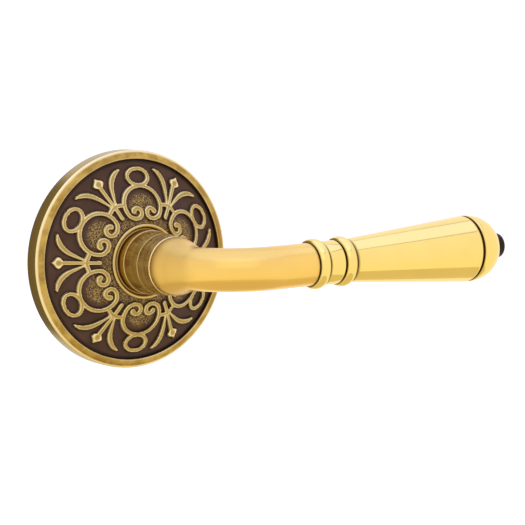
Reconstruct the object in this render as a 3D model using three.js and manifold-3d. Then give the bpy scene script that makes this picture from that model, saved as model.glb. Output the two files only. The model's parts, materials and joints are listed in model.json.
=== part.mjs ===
// A door lever handle: a straight round lever on a round ornamented rose, one side of a latch set.
//
// Units are millimetres. The Y axis is the axis of the spindle, and the plane y = 0 is the door's
// face: the trim stands out towards -Y, the spindle and the mounting posts reach into the door along
// +Y. The lever points along +X and +Z is up. Below, a height is a distance out from the door's face,
// so a point at height h has y = -h.

import * as THREE from "three";
import { mergeVertices } from "three/addons/utils/BufferGeometryUtils.js";
import Module from "manifold-3d";

const wasm = await Module();
wasm.setup();

// ---- Driving dimensions ----

const GAP = 0.3; // between pieces that touch
const DEGREE = Math.PI / 180;
const DOWN = -90 * DEGREE; // towards -Z, as an angle from +X about the spindle

// The rose: a cast shell with a rim, a sunk domed field and raised ornament.
const ROSE_RADIUS = 33.5;
const ROSE_WALL = 2.0;
const RIM_EDGE_HEIGHT = 5.25;
const RIM_TOP_HEIGHT = 6.1;
const FIELD_RADIUS = 30.8;
const BEAD_RING_RADIUS = 10.9;
const BEAD_RING_ROUND = 0.58;
const ROSE_BORE = 10.3;
const DOME_HEIGHT = 12.85; // top of the ornament beside the bead ring
const DOME_SWAY = 0.045; // how far the dome's slope departs from a straight cone
const RELIEF = 0.9; // how far the ornament stands above the field
const ROSE_SKIN = 1.4; // metal under the field
const ORNAMENT_COUNT = 6;
const ORNAMENT_CLOCKING = -2.55 * DEGREE;

// The lever: neck, elbow and arm, turned grip.
const NECK_BASE_RADIUS = 9.73;
const NECK_FOOT_RADIUS = 10.0; // a low flange that nearly fills the rose's bore
const NECK_FOOT_TOP = 12.5;
const NECK_BAND_HEIGHT = 16.3;
const NECK_TOP_RADIUS = 8.8;
const NECK_TOP_HEIGHT = 29.5;
const ARM_HEIGHT = 53.85;
const ARM_RADIUS = 6.4;
const ELBOW_RADIUS = 19;
const ARM_END = 31.0;
const BEAD_RADIUS = 7.55;
const BEAD_SEAT_RADIUS = 6.1;
const FRONT_BEAD = [31.3, 34.9];
const WAIST = [35.2, 40.6];
const WAIST_RADIUS = 6.6;
const REAR_BEAD = [40.9, 44.6];
const GRIP = [44.9, 90.3];
const GRIP_START_RADIUS = 6.5;
const GRIP_END_RADIUS = 10.3;
const CAP = [90.5, 101.4];
const CAP_SEAT_RADIUS = 9.8; // floor of the dark groove beside the grip
const CAP_SEAT_END = 91.1;
const CAP_DOME_START = 92.0;
const CAP_DOME_LENGTH = 10.3; // as a full quarter of an ellipse
const CAP_DOME_CUT = 60 * DEGREE; // where the dome stops, from its start
const CAP_COLLAR_RADIUS = 4.65;
const BUTTON = [101.7, 104.8];
const BUTTON_RADIUS = 3.9;
const BUTTON_ROUND = 0.5;
const TIE_ROD = [15.0, 102.7];
const TIE_ROD_RADIUS = 2.0;
const ROD_BORE = TIE_ROD_RADIUS + GAP;
const SPIGOT_RADIUS = 4.0; // of the arm, in the neck
const SPIGOT_FOOT = 24;
const SHOULDER_RISE = 6.2; // of the elbow's domed foot
const TURNED_LINE_HEIGHT = 23.2; // the fine line round the neck
const TURNED_LINE_DEPTH = 0.12;

// The working parts behind the rose.
const SPINDLE_WIDTH = 8.0;
const SPINDLE_REACH = 50; // into the door
const SPINDLE_TOP = 21.5;
const JOURNAL_RADIUS = 8.0;
const JOURNAL_TAIL = -2.5;
const JOURNAL_FLAT = 7.1;
const SHOULDER_HEIGHT = 10.4;
const PLATE_RADIUS = 31.1;
const PLATE = [0.3, 1.8];
const PLATE_RIM_HEIGHT = 3.4;
const PLATE_BORE = 10.2;
const POST_OFFSET = 19;
const POST_RADIUS = 4.0;
const POST_SPIGOT = 2.5; // through the plate
const POST_THREAD = 2.0;
const POST_REACH = 20;
const HOUSING_RADIUS = 17.9;
const HOUSING_WALL = 1.0;
const HOUSING_FLANGE = [2.1, 3.3];
const HOUSING_FLANGE_RADIUS = 24;
const HOUSING_ROOF = [7.5, 8.4]; // its underside, at the wall and at the collar
const COLLAR_FOOT = 3.5;
const COLLAR_TOP = 9.9;
const COLLAR_BORE = 9.65;
const COLLAR_RADIUS = 11.5;
const SCREW_CIRCLE = 21;
const SCREW_RADIUS = 1.2;
const SCREW_HEAD = { radius: 2.2, height: 1.5, slotDepth: 0.6, slotWidth: 0.6 };
const CAM = [2.2, 3.2];
const CAM_RADIUS = 13.6;
const CAM_EAR = 16.4;
const CAM_EAR_WIDTH = 3.2;
const TANG = [14.2, 15.6];
const TANG_WIDTH = 2.4;
const TANG_TOP = 7.2;
const STOP_CIRCLE = 15.2;
const STOP_RADIUS = 1.25;
const STOP_ANGLE = 57 * DEGREE; // from straight down, which lets the lever turn 45 degrees each way
const COIL_RADIUS = 12.6;
const COIL_WIRE = 0.6;
const COIL_HEIGHTS = [4.2, 6.9];
const COIL_LEG_ANGLE = 9 * DEGREE;
const COIL_LEG_REACH = 16.6;
const CIRCLIP = [-0.35, 0.65];
const CIRCLIP_RADII = [7.9, 9.6];
const CIRCLIP_MOUTH = 16 * DEGREE; // half the gap between its ends
const CLIP_GROOVE_DEPTH = 0.4;
const BUSH = [3.6, 9.2];
const THRUST_WASHER = [9.5, 10.1];
const SPRING_WASHER = { innerHeight: 0.98, outerHeight: 1.4, thickness: 0.45 };
const GRUB_HEIGHT = 19.6;
const GRUB_RADIUS = 2.0;
const ROSE_GRUB_HEIGHT = 2.0;
const ROSE_GRUB_RADIUS = 1.2;

// The ornament's lines. x runs across a motif and y outwards from the spindle.
const SCROLL_CENTRE = [0, 17.1];
const SCROLL_SIZE = [6.3, 5.65];
const VOLUTE_CENTRE = [-2.3, 14.8];
const VOLUTE_RADIUS = 1.3;
const VOLUTE_FADE = 50; // degrees in which the spiral closes by a factor e
const VOLUTE_END = 520; // degrees
const RING_CENTRE = [0, 25.45];
const RING_OUTSIDE = [4.2, 3.05];
const RING_INSIDE = [2.95, 1.85];
const LINE_HALF_WIDTH = 0.6;
const PALMETTE_NODE = 19;
const PALMETTE_STEM = [15.1, 25.4];
const BUD = [[0, 24.9], [1.9, 26.1], [0.55, 27.4], [0, 28.8], [-0.55, 27.4], [-1.9, 26.1]];
const LEAF = [[0.4, 18.4], [2.2, 22.8], [3.9, 26.8], [8.5, 26.8]];
const PALMETTE_ARM = [3.1, 18.0];

// Facets round a full turn.
const COARSE = 12;
const MEDIUM = 24;
const ROUND = 36;
const FINE = 48;

// ---- Solids ----

/** A closed three.js geometry as a solid that faces outwards. */
function toSolid(geometry) {
  const bare = geometry.index ? geometry.toNonIndexed() : geometry.clone();
  bare.deleteAttribute("normal");
  bare.deleteAttribute("uv");
  const merged = mergeVertices(bare, 1e-4);
  const corners = merged.index.array;
  const kept = [];
  for (let i = 0; i < corners.length; i += 3) {
    const [a, b, c] = corners.slice(i, i + 3);
    if (a !== b && b !== c && c !== a) kept.push(a, b, c);
  }
  const build = (triangles) =>
    new wasm.Manifold(
      new wasm.Mesh({
        numProp: 3,
        vertProperties: merged.attributes.position.array,
        triVerts: new Uint32Array(triangles),
      }),
    );
  const solid = build(kept);
  return solid.volume() > 0 ? solid : build(kept.reverse());
}

/** A solid as a three.js geometry. */
function toGeometry(solid) {
  const { numProp, vertProperties, triVerts } = solid.getMesh();
  const places = new Float32Array((vertProperties.length / numProp) * 3);
  for (let i = 0; i < places.length / 3; i += 1) {
    places.set(vertProperties.subarray(i * numProp, i * numProp + 3), i * 3);
  }
  const geometry = new THREE.BufferGeometry();
  geometry.setAttribute("position", new THREE.BufferAttribute(places, 3));
  geometry.setIndex(new THREE.BufferAttribute(triVerts, 1));
  geometry.computeVertexNormals();
  return geometry;
}

const join = (solids) => solids.reduce((whole, next) => whole.add(next));
const cut = (whole, ...tools) => tools.reduce((rest, tool) => rest.subtract(tool), whole);

/** A solid turned about the spindle's axis. The profile holds [radius, height] pairs. */
function turned(profile, facets = MEDIUM) {
  const points = profile.map(([radius, height]) => new THREE.Vector2(radius, -height));
  const onAxis = points[0].x === 0 && points.at(-1).x === 0;
  if (!onAxis) points.push(points[0].clone());
  return toSolid(new THREE.LatheGeometry(points, facets));
}

/** A solid turned about the lever's axis. The profile holds [x, radius] pairs. */
function turnedAlongArm(profile, facets = MEDIUM) {
  const points = profile.map(([x, radius]) => new THREE.Vector2(radius, x));
  const onAxis = points[0].x === 0 && points.at(-1).x === 0;
  if (!onAxis) points.push(points[0].clone());
  const geometry = new THREE.LatheGeometry(points, facets);
  geometry.rotateZ(DOWN).translate(0, -ARM_HEIGHT, 0);
  return toSolid(geometry);
}

/** A flat outline in x and z, given its thickness between two heights. */
function prism(shape, [low, high], curveSegments = COARSE) {
  const geometry = new THREE.ExtrudeGeometry(shape, {
    depth: high - low,
    bevelEnabled: false,
    curveSegments,
  });
  geometry.translate(0, 0, low).rotateX(-DOWN);
  return toSolid(geometry);
}

/** A round bar parallel to the spindle. */
function bar(radius, [low, high], x = 0, z = 0, facets = COARSE) {
  const geometry = new THREE.CylinderGeometry(radius, radius, high - low, facets);
  return toSolid(geometry.translate(x, -(low + high) / 2, z));
}

/** A box from its lowest corner to its highest, in x, height and z. */
function block([x0, h0, z0], [x1, h1, z1]) {
  const geometry = new THREE.BoxGeometry(x1 - x0, h1 - h0, z1 - z0);
  return toSolid(geometry.translate((x0 + x1) / 2, -(h0 + h1) / 2, (z0 + z1) / 2));
}

/** A round bar across the spindle, pointing down from one distance below it to another. */
function barDown(radius, height, [near, far], facets = COARSE) {
  const geometry = new THREE.CylinderGeometry(radius, radius, far - near, facets);
  geometry.rotateX(DOWN).translate(0, -height, -(near + far) / 2);
  return toSolid(geometry);
}

/** A solid turned about the spindle by an angle from +X towards +Z. */
const swing = (solid, angle) => solid.rotate([0, -angle / DEGREE, 0]);

// ---- The rose ----

/** Height of the ornament's top face at a radius: a cone that eases in at the rim and the bore. */
function domeTop(radius) {
  const inward = (FIELD_RADIUS - radius) / (FIELD_RADIUS - BEAD_RING_RADIUS - BEAD_RING_ROUND);
  const eased = inward - DOME_SWAY * Math.sin(2 * Math.PI * inward);
  return RIM_TOP_HEIGHT + (DOME_HEIGHT - RIM_TOP_HEIGHT) * eased;
}

/** Evenly spaced [radius, height] points of the dome, lowered by a depth. */
function domePoints(outer, inner, count, depth) {
  return Array.from({ length: count }, (_, i) => {
    const radius = outer + ((inner - outer) * i) / (count - 1);
    return [radius, domeTop(radius) - depth];
  });
}

function roseShell() {
  const inside = ROSE_RADIUS - ROSE_WALL;
  const beadFoot = BEAD_RING_RADIUS + BEAD_RING_ROUND;
  const beadCentre = domeTop(beadFoot) - RELIEF + BEAD_RING_ROUND;
  const bead = [30, 70, 110, 150].map((degrees) => [
    BEAD_RING_RADIUS + BEAD_RING_ROUND * Math.cos(degrees * DEGREE),
    beadCentre + BEAD_RING_ROUND * Math.sin(degrees * DEGREE),
  ]);
  const rimEdge = 0.35; // rounding of the rim's outer edge
  return turned(
    [
      [ROSE_RADIUS, 0],
      [ROSE_RADIUS, RIM_EDGE_HEIGHT - rimEdge],
      [ROSE_RADIUS - rimEdge, RIM_EDGE_HEIGHT],
      [(ROSE_RADIUS + FIELD_RADIUS) / 2, (RIM_EDGE_HEIGHT + RIM_TOP_HEIGHT) / 2 + 0.1],
      [FIELD_RADIUS, RIM_TOP_HEIGHT],
      ...domePoints(FIELD_RADIUS - 0.15, beadFoot, 6, RELIEF),
      ...bead,
      [ROSE_BORE, beadCentre],
      ...domePoints(ROSE_BORE, inside - ROSE_WALL, 5, RELIEF + ROSE_SKIN),
      [inside, domeTop(inside) - RELIEF - ROSE_SKIN],
      [inside, 0],
    ],
    FINE,
  );
}

/** A band of changing width along a line, as an outline. */
function ribbon(line, halfWidth) {
  const sides = [[], []];
  line.forEach((point, i) => {
    const before = line[Math.max(i - 1, 0)];
    const after = line[Math.min(i + 1, line.length - 1)];
    const along = after.clone().sub(before).normalize();
    const across = new THREE.Vector2(-along.y, along.x);
    const width = halfWidth(i / (line.length - 1));
    sides[0].push(point.clone().addScaledVector(across, width));
    sides[1].unshift(point.clone().addScaledVector(across, -width));
  });
  return new THREE.Shape(sides.flat());
}

/** A full-height prism of an outline. Across the motif is x, outwards from the spindle is z. */
const inRelief = (shape) => prism(shape, [1, DOME_HEIGHT + 1], 5);

/** Half of a C-scroll: an elliptical arc from the top that winds into a volute. */
function scrollLine() {
  const centre = new THREE.Vector2(...SCROLL_CENTRE);
  const [wide, tall] = SCROLL_SIZE;
  const eye = new THREE.Vector2(...VOLUTE_CENTRE);
  const line = [];
  for (let degrees = 90; degrees <= 215; degrees += 31) {
    const angle = degrees * DEGREE;
    line.push(new THREE.Vector2(wide * Math.cos(angle), tall * Math.sin(angle)).add(centre));
  }
  const curlStart = line.at(-1).clone().sub(eye);
  const start = curlStart.angle() / DEGREE;
  const closing = curlStart.length() - VOLUTE_RADIUS;
  for (let degrees = start + 30; degrees <= VOLUTE_END; degrees += 41) {
    const radius = VOLUTE_RADIUS + closing * Math.exp((start - degrees) / VOLUTE_FADE);
    const angle = degrees * DEGREE;
    line.push(new THREE.Vector2(radius * Math.cos(angle), radius * Math.sin(angle)).add(eye));
  }
  return line;
}

function scrollMotif() {
  const line = scrollLine();
  const mirrored = line.map(({ x, y }) => new THREE.Vector2(-x, y));
  const width = (along) => LINE_HALF_WIDTH + 0.16 * along;
  const ring = new THREE.Shape().absellipse(...RING_CENTRE, ...RING_OUTSIDE, 0, 2 * Math.PI);
  ring.holes.push(new THREE.Path().absellipse(...RING_CENTRE, ...RING_INSIDE, 0, 2 * Math.PI));
  return join([
    inRelief(ribbon(line, width)),
    inRelief(ribbon(mirrored, width)),
    inRelief(ring),
  ]);
}

function palmetteMotif() {
  const point = ([x, y], side = 1) => new THREE.Vector2(side * x, y);
  const stem = PALMETTE_STEM.map((y) => point([0, y]));
  const bud = new THREE.Shape(BUD.map((corner) => point(corner)));
  const even = () => LINE_HALF_WIDTH;
  const leafWidth = (along) => 0.35 + 0.65 * Math.sin(Math.PI * along ** 1.2) - 0.25 * along;
  const pieces = [inRelief(ribbon(stem, even)), inRelief(bud)];
  for (const side of [-1, 1]) {
    const leaf = new THREE.CubicBezierCurve(...LEAF.map((corner) => point(corner, side)));
    const arm = [point([0, PALMETTE_NODE]), point(PALMETTE_ARM, side)];
    pieces.push(inRelief(ribbon(leaf.getPoints(5), leafWidth)));
    pieces.push(inRelief(ribbon(arm, even)));
  }
  return join(pieces);
}

function rosette() {
  const sector = 360 / ORNAMENT_COUNT;
  const scroll = scrollMotif();
  const palmette = palmetteMotif().rotate([0, sector / 2, 0]);
  const sectors = Array.from({ length: ORNAMENT_COUNT }, (_, i) =>
    scroll.add(palmette).rotate([0, i * sector, 0]),
  );
  const underDome = (depth, middle) => {
    const slope = domePoints(FIELD_RADIUS, BEAD_RING_RADIUS, 4, depth);
    return turned([[0, 0], [FIELD_RADIUS, 0], ...slope, [0, middle]]);
  };
  const bore = bar(BEAD_RING_RADIUS, [-1, 20], 0, 0, FINE);
  const standing = swing(join(sectors), ORNAMENT_CLOCKING).intersect(underDome(0, 12));
  const ornament = cut(standing, underDome(RELIEF + 0.6, 11), bore);
  const screwHole = barDown(ROSE_GRUB_RADIUS + GAP, ROSE_GRUB_HEIGHT, [30, 35]);
  return cut(roseShell().add(ornament), screwHole);
}

function roseGrubScrew() {
  const [near, far] = [PLATE_RADIUS + GAP, ROSE_RADIUS - GAP];
  const socket = barDown(ROSE_GRUB_RADIUS / 2, ROSE_GRUB_HEIGHT, [far - 0.9, far + 1], 6);
  return cut(barDown(ROSE_GRUB_RADIUS, ROSE_GRUB_HEIGHT, [near, far]), socket);
}

// ---- Behind the rose ----

const screwAngles = { top: 90, left: 210, right: 330 };
const stopAngles = { left: DOWN - STOP_ANGLE, right: DOWN + STOP_ANGLE };
const around = (radius, angle) => [radius * Math.cos(angle), radius * Math.sin(angle)];

function mountingPlate() {
  const [low, high] = PLATE;
  const rim = PLATE_RADIUS - 1.5;
  const dish = turned(
    [
      [PLATE_BORE, low],
      [PLATE_RADIUS, low],
      [PLATE_RADIUS, PLATE_RIM_HEIGHT],
      [rim, PLATE_RIM_HEIGHT],
      [rim, high],
      [PLATE_BORE, high],
    ],
    FINE,
  );
  const through = [low - 1, high + 1];
  const holes = [
    ...Object.values(screwAngles).map((degrees) =>
      bar(SCREW_RADIUS + GAP, through, ...around(SCREW_CIRCLE, degrees * DEGREE)),
    ),
    ...Object.values(stopAngles).map((angle) =>
      bar(STOP_RADIUS + GAP, through, ...around(STOP_CIRCLE, angle)),
    ),
    bar(POST_SPIGOT + GAP, through, -POST_OFFSET),
    bar(POST_SPIGOT + GAP, through, POST_OFFSET),
  ];
  return cut(dish, ...holes);
}

function mountingPost(side) {
  const x = side * POST_OFFSET;
  const body = bar(POST_RADIUS, [-POST_REACH, 0], x, 0, 20);
  const spigot = bar(POST_SPIGOT, [-1, PLATE[1] - 0.1], x);
  const thread = bar(POST_THREAD, [-POST_REACH - 1, -4], x);
  return cut(body.add(spigot), thread);
}

function springHousing() {
  const [roofAtWall, roofAtCollar] = HOUSING_ROOF;
  const [flangeLow, flangeHigh] = HOUSING_FLANGE;
  const shell = turned(
    [
      [COLLAR_BORE, COLLAR_FOOT],
      [COLLAR_RADIUS, COLLAR_FOOT],
      [COLLAR_RADIUS, roofAtCollar],
      [HOUSING_RADIUS - HOUSING_WALL, roofAtWall],
      [HOUSING_RADIUS - HOUSING_WALL, flangeLow],
      [HOUSING_FLANGE_RADIUS, flangeLow],
      [HOUSING_FLANGE_RADIUS, flangeHigh],
      [HOUSING_RADIUS, flangeHigh],
      [HOUSING_RADIUS, roofAtWall + 0.6],
      [COLLAR_RADIUS, COLLAR_TOP - 0.3],
      [COLLAR_BORE, COLLAR_TOP],
    ],
    ROUND,
  );
  const half = TANG_WIDTH / 2;
  const wallInside = HOUSING_RADIUS - HOUSING_WALL / 2;
  const anchor = block([-half, COLLAR_FOOT + 0.1, -wallInside], [half, 8, -TANG[1] - GAP]);
  const holes = Object.values(screwAngles).map((degrees) =>
    bar(SCREW_RADIUS + GAP, [1, 5], ...around(SCREW_CIRCLE, degrees * DEGREE)),
  );
  return cut(shell.add(anchor), ...holes);
}

function housingScrew(degrees) {
  const { radius, height, slotDepth, slotWidth } = SCREW_HEAD;
  const [x, z] = around(SCREW_CIRCLE, degrees * DEGREE);
  const flange = HOUSING_FLANGE[1];
  const top = flange + height;
  const head = bar(radius, [flange + GAP, top], x, z, 16);
  const shank = bar(SCREW_RADIUS, [PLATE[0] + 0.1, top - slotDepth], x, z);
  const slot = block(
    [x - radius - 1, top - slotDepth, z - slotWidth / 2],
    [x + radius + 1, top + 1, z + slotWidth / 2],
  );
  return cut(head.add(shank), slot);
}

/** A torsion spring: a coil between two radial legs that straddle the cam's tang. */
class TorsionSpringLine extends THREE.Curve {
  getPoint(t, target = new THREE.Vector3()) {
    const legLength = COIL_LEG_REACH - COIL_RADIUS;
    const turn = 4 * Math.PI - 2 * COIL_LEG_ANGLE;
    const coilLength = COIL_RADIUS * turn;
    const along = t * (coilLength + 2 * legLength) - legLength;
    const share = THREE.MathUtils.clamp(along / coilLength, 0, 1);
    const overrun = Math.max(-along, along - coilLength, 0);
    const angle = DOWN + COIL_LEG_ANGLE + turn * share;
    const radius = COIL_RADIUS + overrun;
    const height = THREE.MathUtils.lerp(...COIL_HEIGHTS, share);
    return target.set(radius * Math.cos(angle), -height, radius * Math.sin(angle));
  }
}

function returnSpring() {
  const section = new THREE.Shape().absarc(0, 0, COIL_WIRE, 0, 2 * Math.PI);
  const geometry = new THREE.ExtrudeGeometry(section, {
    steps: 52,
    curveSegments: 4,
    extrudePath: new TorsionSpringLine(),
  });
  return toSolid(geometry);
}

function stopPin(angle) {
  return bar(STOP_RADIUS, [PLATE[0] + 0.1, CAM[1] + 0.1], ...around(STOP_CIRCLE, angle));
}

/** A plain ring on the journal, inside the housing's collar. */
function ringOnJournal([low, high]) {
  const [inner, outer] = [JOURNAL_RADIUS + GAP, COLLAR_BORE - GAP];
  return turned([[inner, low], [outer, low], [outer, high], [inner, high]], ROUND);
}

function neckBush() {
  return ringOnJournal(BUSH);
}

// ---- The turning parts on the neck's journal ----

/** The cut that leaves two flats on a round, above and below the spindle. */
function flats(distance, [low, high]) {
  const far = 20;
  return [
    block([-far, low, distance], [far, high, far]),
    block([-far, low, -far], [far, high, -distance]),
  ];
}

function driveCam() {
  const disc = bar(CAM_RADIUS, CAM, 0, 0, ROUND);
  const halfEar = CAM_EAR_WIDTH / 2;
  const ear = block([-halfEar, CAM[0], -CAM_EAR], [halfEar, CAM[1], -CAM_RADIUS + 1]);
  const half = TANG_WIDTH / 2;
  const tang = block([-half, CAM[0], -TANG[1]], [half, TANG_TOP, -TANG[0]]);
  const span = [CAM[0] - 1, CAM[1] + 1];
  const round = bar(JOURNAL_RADIUS + GAP, span, 0, 0, ROUND);
  const hole = cut(round, ...flats(JOURNAL_FLAT + GAP, [0, 6]));
  return cut(join([disc, ear, tang]), hole);
}

function thrustWasher() {
  return ringOnJournal(THRUST_WASHER);
}

/** A conical disc spring that takes up the end play between the cam and the circlip. */
function springWasher() {
  const [inner, outer] = [JOURNAL_RADIUS + GAP, PLATE_BORE - GAP];
  const { innerHeight, outerHeight, thickness } = SPRING_WASHER;
  return turned(
    [
      [inner, innerHeight],
      [outer, outerHeight],
      [outer, outerHeight + thickness],
      [inner, innerHeight + thickness],
    ],
    ROUND,
  );
}

function circlip() {
  const [inner, outer] = CIRCLIP_RADII;
  const [from, to] = [DOWN + CIRCLIP_MOUTH, DOWN - CIRCLIP_MOUTH + 2 * Math.PI];
  const ring = new THREE.Shape();
  ring.absarc(0, 0, outer, from, to, false);
  ring.absarc(0, 0, inner, to, from, true);
  return prism(ring, CIRCLIP, 14);
}

function spindle() {
  const half = SPINDLE_WIDTH / 2;
  return block([-half, -SPINDLE_REACH, -half], [half, SPINDLE_TOP, half]);
}

// ---- The lever ----

function leverNeck() {
  const line = TURNED_LINE_HEIGHT;
  const bandRadius = NECK_BASE_RADIUS - 0.1;
  const steepness = (NECK_TOP_RADIUS - bandRadius) / (NECK_TOP_HEIGHT - NECK_BAND_HEIGHT);
  const taper = (height) => bandRadius + (height - NECK_BAND_HEIGHT) * steepness;
  const clipGroove = [CIRCLIP[0] - GAP, CIRCLIP[1] + GAP];
  const outline = turned(
    [
      [0, JOURNAL_TAIL],
      [JOURNAL_RADIUS - 0.4, JOURNAL_TAIL],
      [JOURNAL_RADIUS, JOURNAL_TAIL + 0.4],
      [JOURNAL_RADIUS, clipGroove[0]],
      [JOURNAL_RADIUS - CLIP_GROOVE_DEPTH, clipGroove[0]],
      [JOURNAL_RADIUS - CLIP_GROOVE_DEPTH, clipGroove[1]],
      [JOURNAL_RADIUS, clipGroove[1]],
      [JOURNAL_RADIUS, SHOULDER_HEIGHT],
      [NECK_FOOT_RADIUS, SHOULDER_HEIGHT],
      [NECK_FOOT_RADIUS, NECK_FOOT_TOP],
      [NECK_BASE_RADIUS, NECK_FOOT_TOP],
      [NECK_BASE_RADIUS, NECK_BAND_HEIGHT - 0.3],
      [NECK_BASE_RADIUS - TURNED_LINE_DEPTH, NECK_BAND_HEIGHT],
      [taper(line - 0.3), line - 0.3],
      [taper(line) - TURNED_LINE_DEPTH, line],
      [taper(line + 0.3), line + 0.3],
      [NECK_TOP_RADIUS, NECK_TOP_HEIGHT],
      [0, NECK_TOP_HEIGHT],
    ],
    ROUND,
  );
  const half = SPINDLE_WIDTH / 2 + GAP;
  return cut(
    outline,
    block([-half, JOURNAL_TAIL - 1, -half], [half, SPINDLE_TOP + 0.5, half]),
    bar(SPIGOT_RADIUS + GAP, [SPIGOT_FOOT - 0.4, NECK_TOP_HEIGHT + 1], 0, 0, 24),
    barDown(GRUB_RADIUS + GAP, GRUB_HEIGHT, [SPINDLE_WIDTH / 2, 12]),
    ...flats(JOURNAL_FLAT, [JOURNAL_TAIL - 1, CAM[1] + GAP]),
  );
}

function spindleGrubScrew() {
  const [near, far] = [SPINDLE_WIDTH / 2 + GAP, NECK_BASE_RADIUS - 0.9];
  const socket = barDown(GRUB_RADIUS / 2, GRUB_HEIGHT, [far - 2, far + 1], 6);
  return cut(barDown(GRUB_RADIUS, GRUB_HEIGHT, [near, far], 16), socket);
}

/** The middle line of the elbow and arm: up from the neck, round a quarter bend, out along +X. */
class ElbowLine extends THREE.Curve {
  constructor(startHeight) {
    super();
    this.rise = ARM_HEIGHT - ELBOW_RADIUS - startHeight;
    this.bend = (Math.PI / 2) * ELBOW_RADIUS;
    this.run = ARM_END - ELBOW_RADIUS;
    this.startHeight = startHeight;
  }

  getPoint(t, target = new THREE.Vector3()) {
    const along = t * (this.rise + this.bend + this.run);
    if (along < this.rise) return target.set(0, -(this.startHeight + along), 0);
    const angle = Math.min(along - this.rise, this.bend) / ELBOW_RADIUS;
    const beyond = Math.max(along - this.rise - this.bend, 0);
    const x = ELBOW_RADIUS * (1 - Math.cos(angle)) + beyond;
    const height = ARM_HEIGHT - ELBOW_RADIUS * (1 - Math.sin(angle));
    return target.set(x, -height, 0);
  }
}

function leverArm() {
  const base = NECK_TOP_HEIGHT + GAP;
  const shoulder = Array.from({ length: 5 }, (_, i) => {
    const angle = (i / 4) * 0.5 * Math.PI;
    const radius = THREE.MathUtils.lerp(ARM_RADIUS - 0.2, NECK_TOP_RADIUS - 0.05, Math.cos(angle));
    return [radius, base + SHOULDER_RISE * Math.sin(angle)];
  });
  const dome = turned([[0, base], ...shoulder, [0, base + SHOULDER_RISE]], MEDIUM);
  const section = new THREE.Shape().absarc(0, 0, ARM_RADIUS, 0, 2 * Math.PI);
  const sweep = toSolid(
    new THREE.ExtrudeGeometry(section, {
      steps: 18,
      curveSegments: 12,
      extrudePath: new ElbowLine(base + 0.5),
    }),
  );
  const spigot = bar(SPIGOT_RADIUS, [SPIGOT_FOOT, base + 1], 0, 0, 24);
  const [foot, mouth] = [TIE_ROD[0] - 0.4, ARM_END + 1];
  const rodHole = turnedAlongArm(
    [[foot, 0], [foot, ROD_BORE], [mouth, ROD_BORE], [mouth, 0]],
    COARSE,
  );
  return cut(join([dome, sweep, spigot]), rodHole);
}

/** A ring on the tie rod, whose outline runs from its start face to its end face. */
const threaded = ([start, end], outline, facets) =>
  turnedAlongArm([[start, ROD_BORE], ...outline, [end, ROD_BORE]], facets);

/** A half-round bead that stands on its seat radius. */
function bead([start, end]) {
  const middle = (start + end) / 2;
  const outline = Array.from({ length: 7 }, (_, i) => {
    const angle = (i / 6) * Math.PI;
    const reach = (BEAD_RADIUS - BEAD_SEAT_RADIUS) * Math.sin(angle) ** 0.8;
    return [middle - ((end - start) / 2) * Math.cos(angle), BEAD_SEAT_RADIUS + reach];
  });
  return threaded([start, end], outline);
}

function waistBand() {
  const [start, end] = WAIST;
  return threaded(WAIST, [[start, WAIST_RADIUS], [end, WAIST_RADIUS]]);
}

function grip() {
  const [start, end] = GRIP;
  const outline = [
    [start, GRIP_START_RADIUS],
    [end - 0.6, GRIP_END_RADIUS],
    [end, GRIP_END_RADIUS - 0.3],
  ];
  return threaded(GRIP, outline, ROUND);
}

function endCap() {
  const [start, end] = CAP;
  const dome = Array.from({ length: 7 }, (_, i) => {
    const angle = (i / 6) * CAP_DOME_CUT;
    const x = CAP_DOME_START + CAP_DOME_LENGTH * Math.sin(angle);
    return [x, GRIP_END_RADIUS * Math.cos(angle)];
  });
  const domeEnd = dome.at(-1)[0];
  const outline = [
    [start, CAP_SEAT_RADIUS],
    [CAP_SEAT_END, CAP_SEAT_RADIUS],
    [CAP_SEAT_END, GRIP_END_RADIUS],
    ...dome,
    [domeEnd, CAP_COLLAR_RADIUS],
    [end, CAP_COLLAR_RADIUS],
  ];
  return threaded(CAP, outline, ROUND);
}

function endButton() {
  const [start, end] = BUTTON;
  return turnedAlongArm(
    [
      [TIE_ROD[1] + 0.3, 0],
      [TIE_ROD[1] + 0.3, ROD_BORE],
      [start, ROD_BORE],
      [start, BUTTON_RADIUS],
      [end - BUTTON_ROUND, BUTTON_RADIUS],
      [end - BUTTON_ROUND / 3, BUTTON_RADIUS - BUTTON_ROUND / 2],
      [end, BUTTON_RADIUS - 2 * BUTTON_ROUND],
      [end, 0],
    ],
    24,
  );
}

function tieRod() {
  const [start, end] = TIE_ROD;
  return turnedAlongArm([[start, 0], [start, TIE_ROD_RADIUS], [end, TIE_ROD_RADIUS], [end, 0]], COARSE);
}

// ---- Materials and assembly ----

const finish = (color, roughness, metalness) => () =>
  new THREE.MeshStandardMaterial({ color, roughness, metalness });

const agedBrass = finish(0x7d6038, 0.42, 0.9);
const satinBrass = finish(0xd9ae54, 0.34, 1);
const polishedBrass = finish(0xf2cf74, 0.16, 1);
const darkBrass = finish(0x3a2a14, 0.45, 0.9);
const zincPlate = finish(0xb9bcc0, 0.4, 1);
const castZinc = finish(0x8d9094, 0.6, 0.8);
const springSteel = finish(0x6d7176, 0.35, 1);
const blackScrew = finish(0x26262a, 0.5, 0.8);
const nylon = finish(0xe8e4d8, 0.6, 0);

const group = new THREE.Group();

function piece(name, solid, material) {
  const mesh = new THREE.Mesh(toGeometry(solid), material());
  mesh.name = name;
  group.add(mesh);
}

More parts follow.
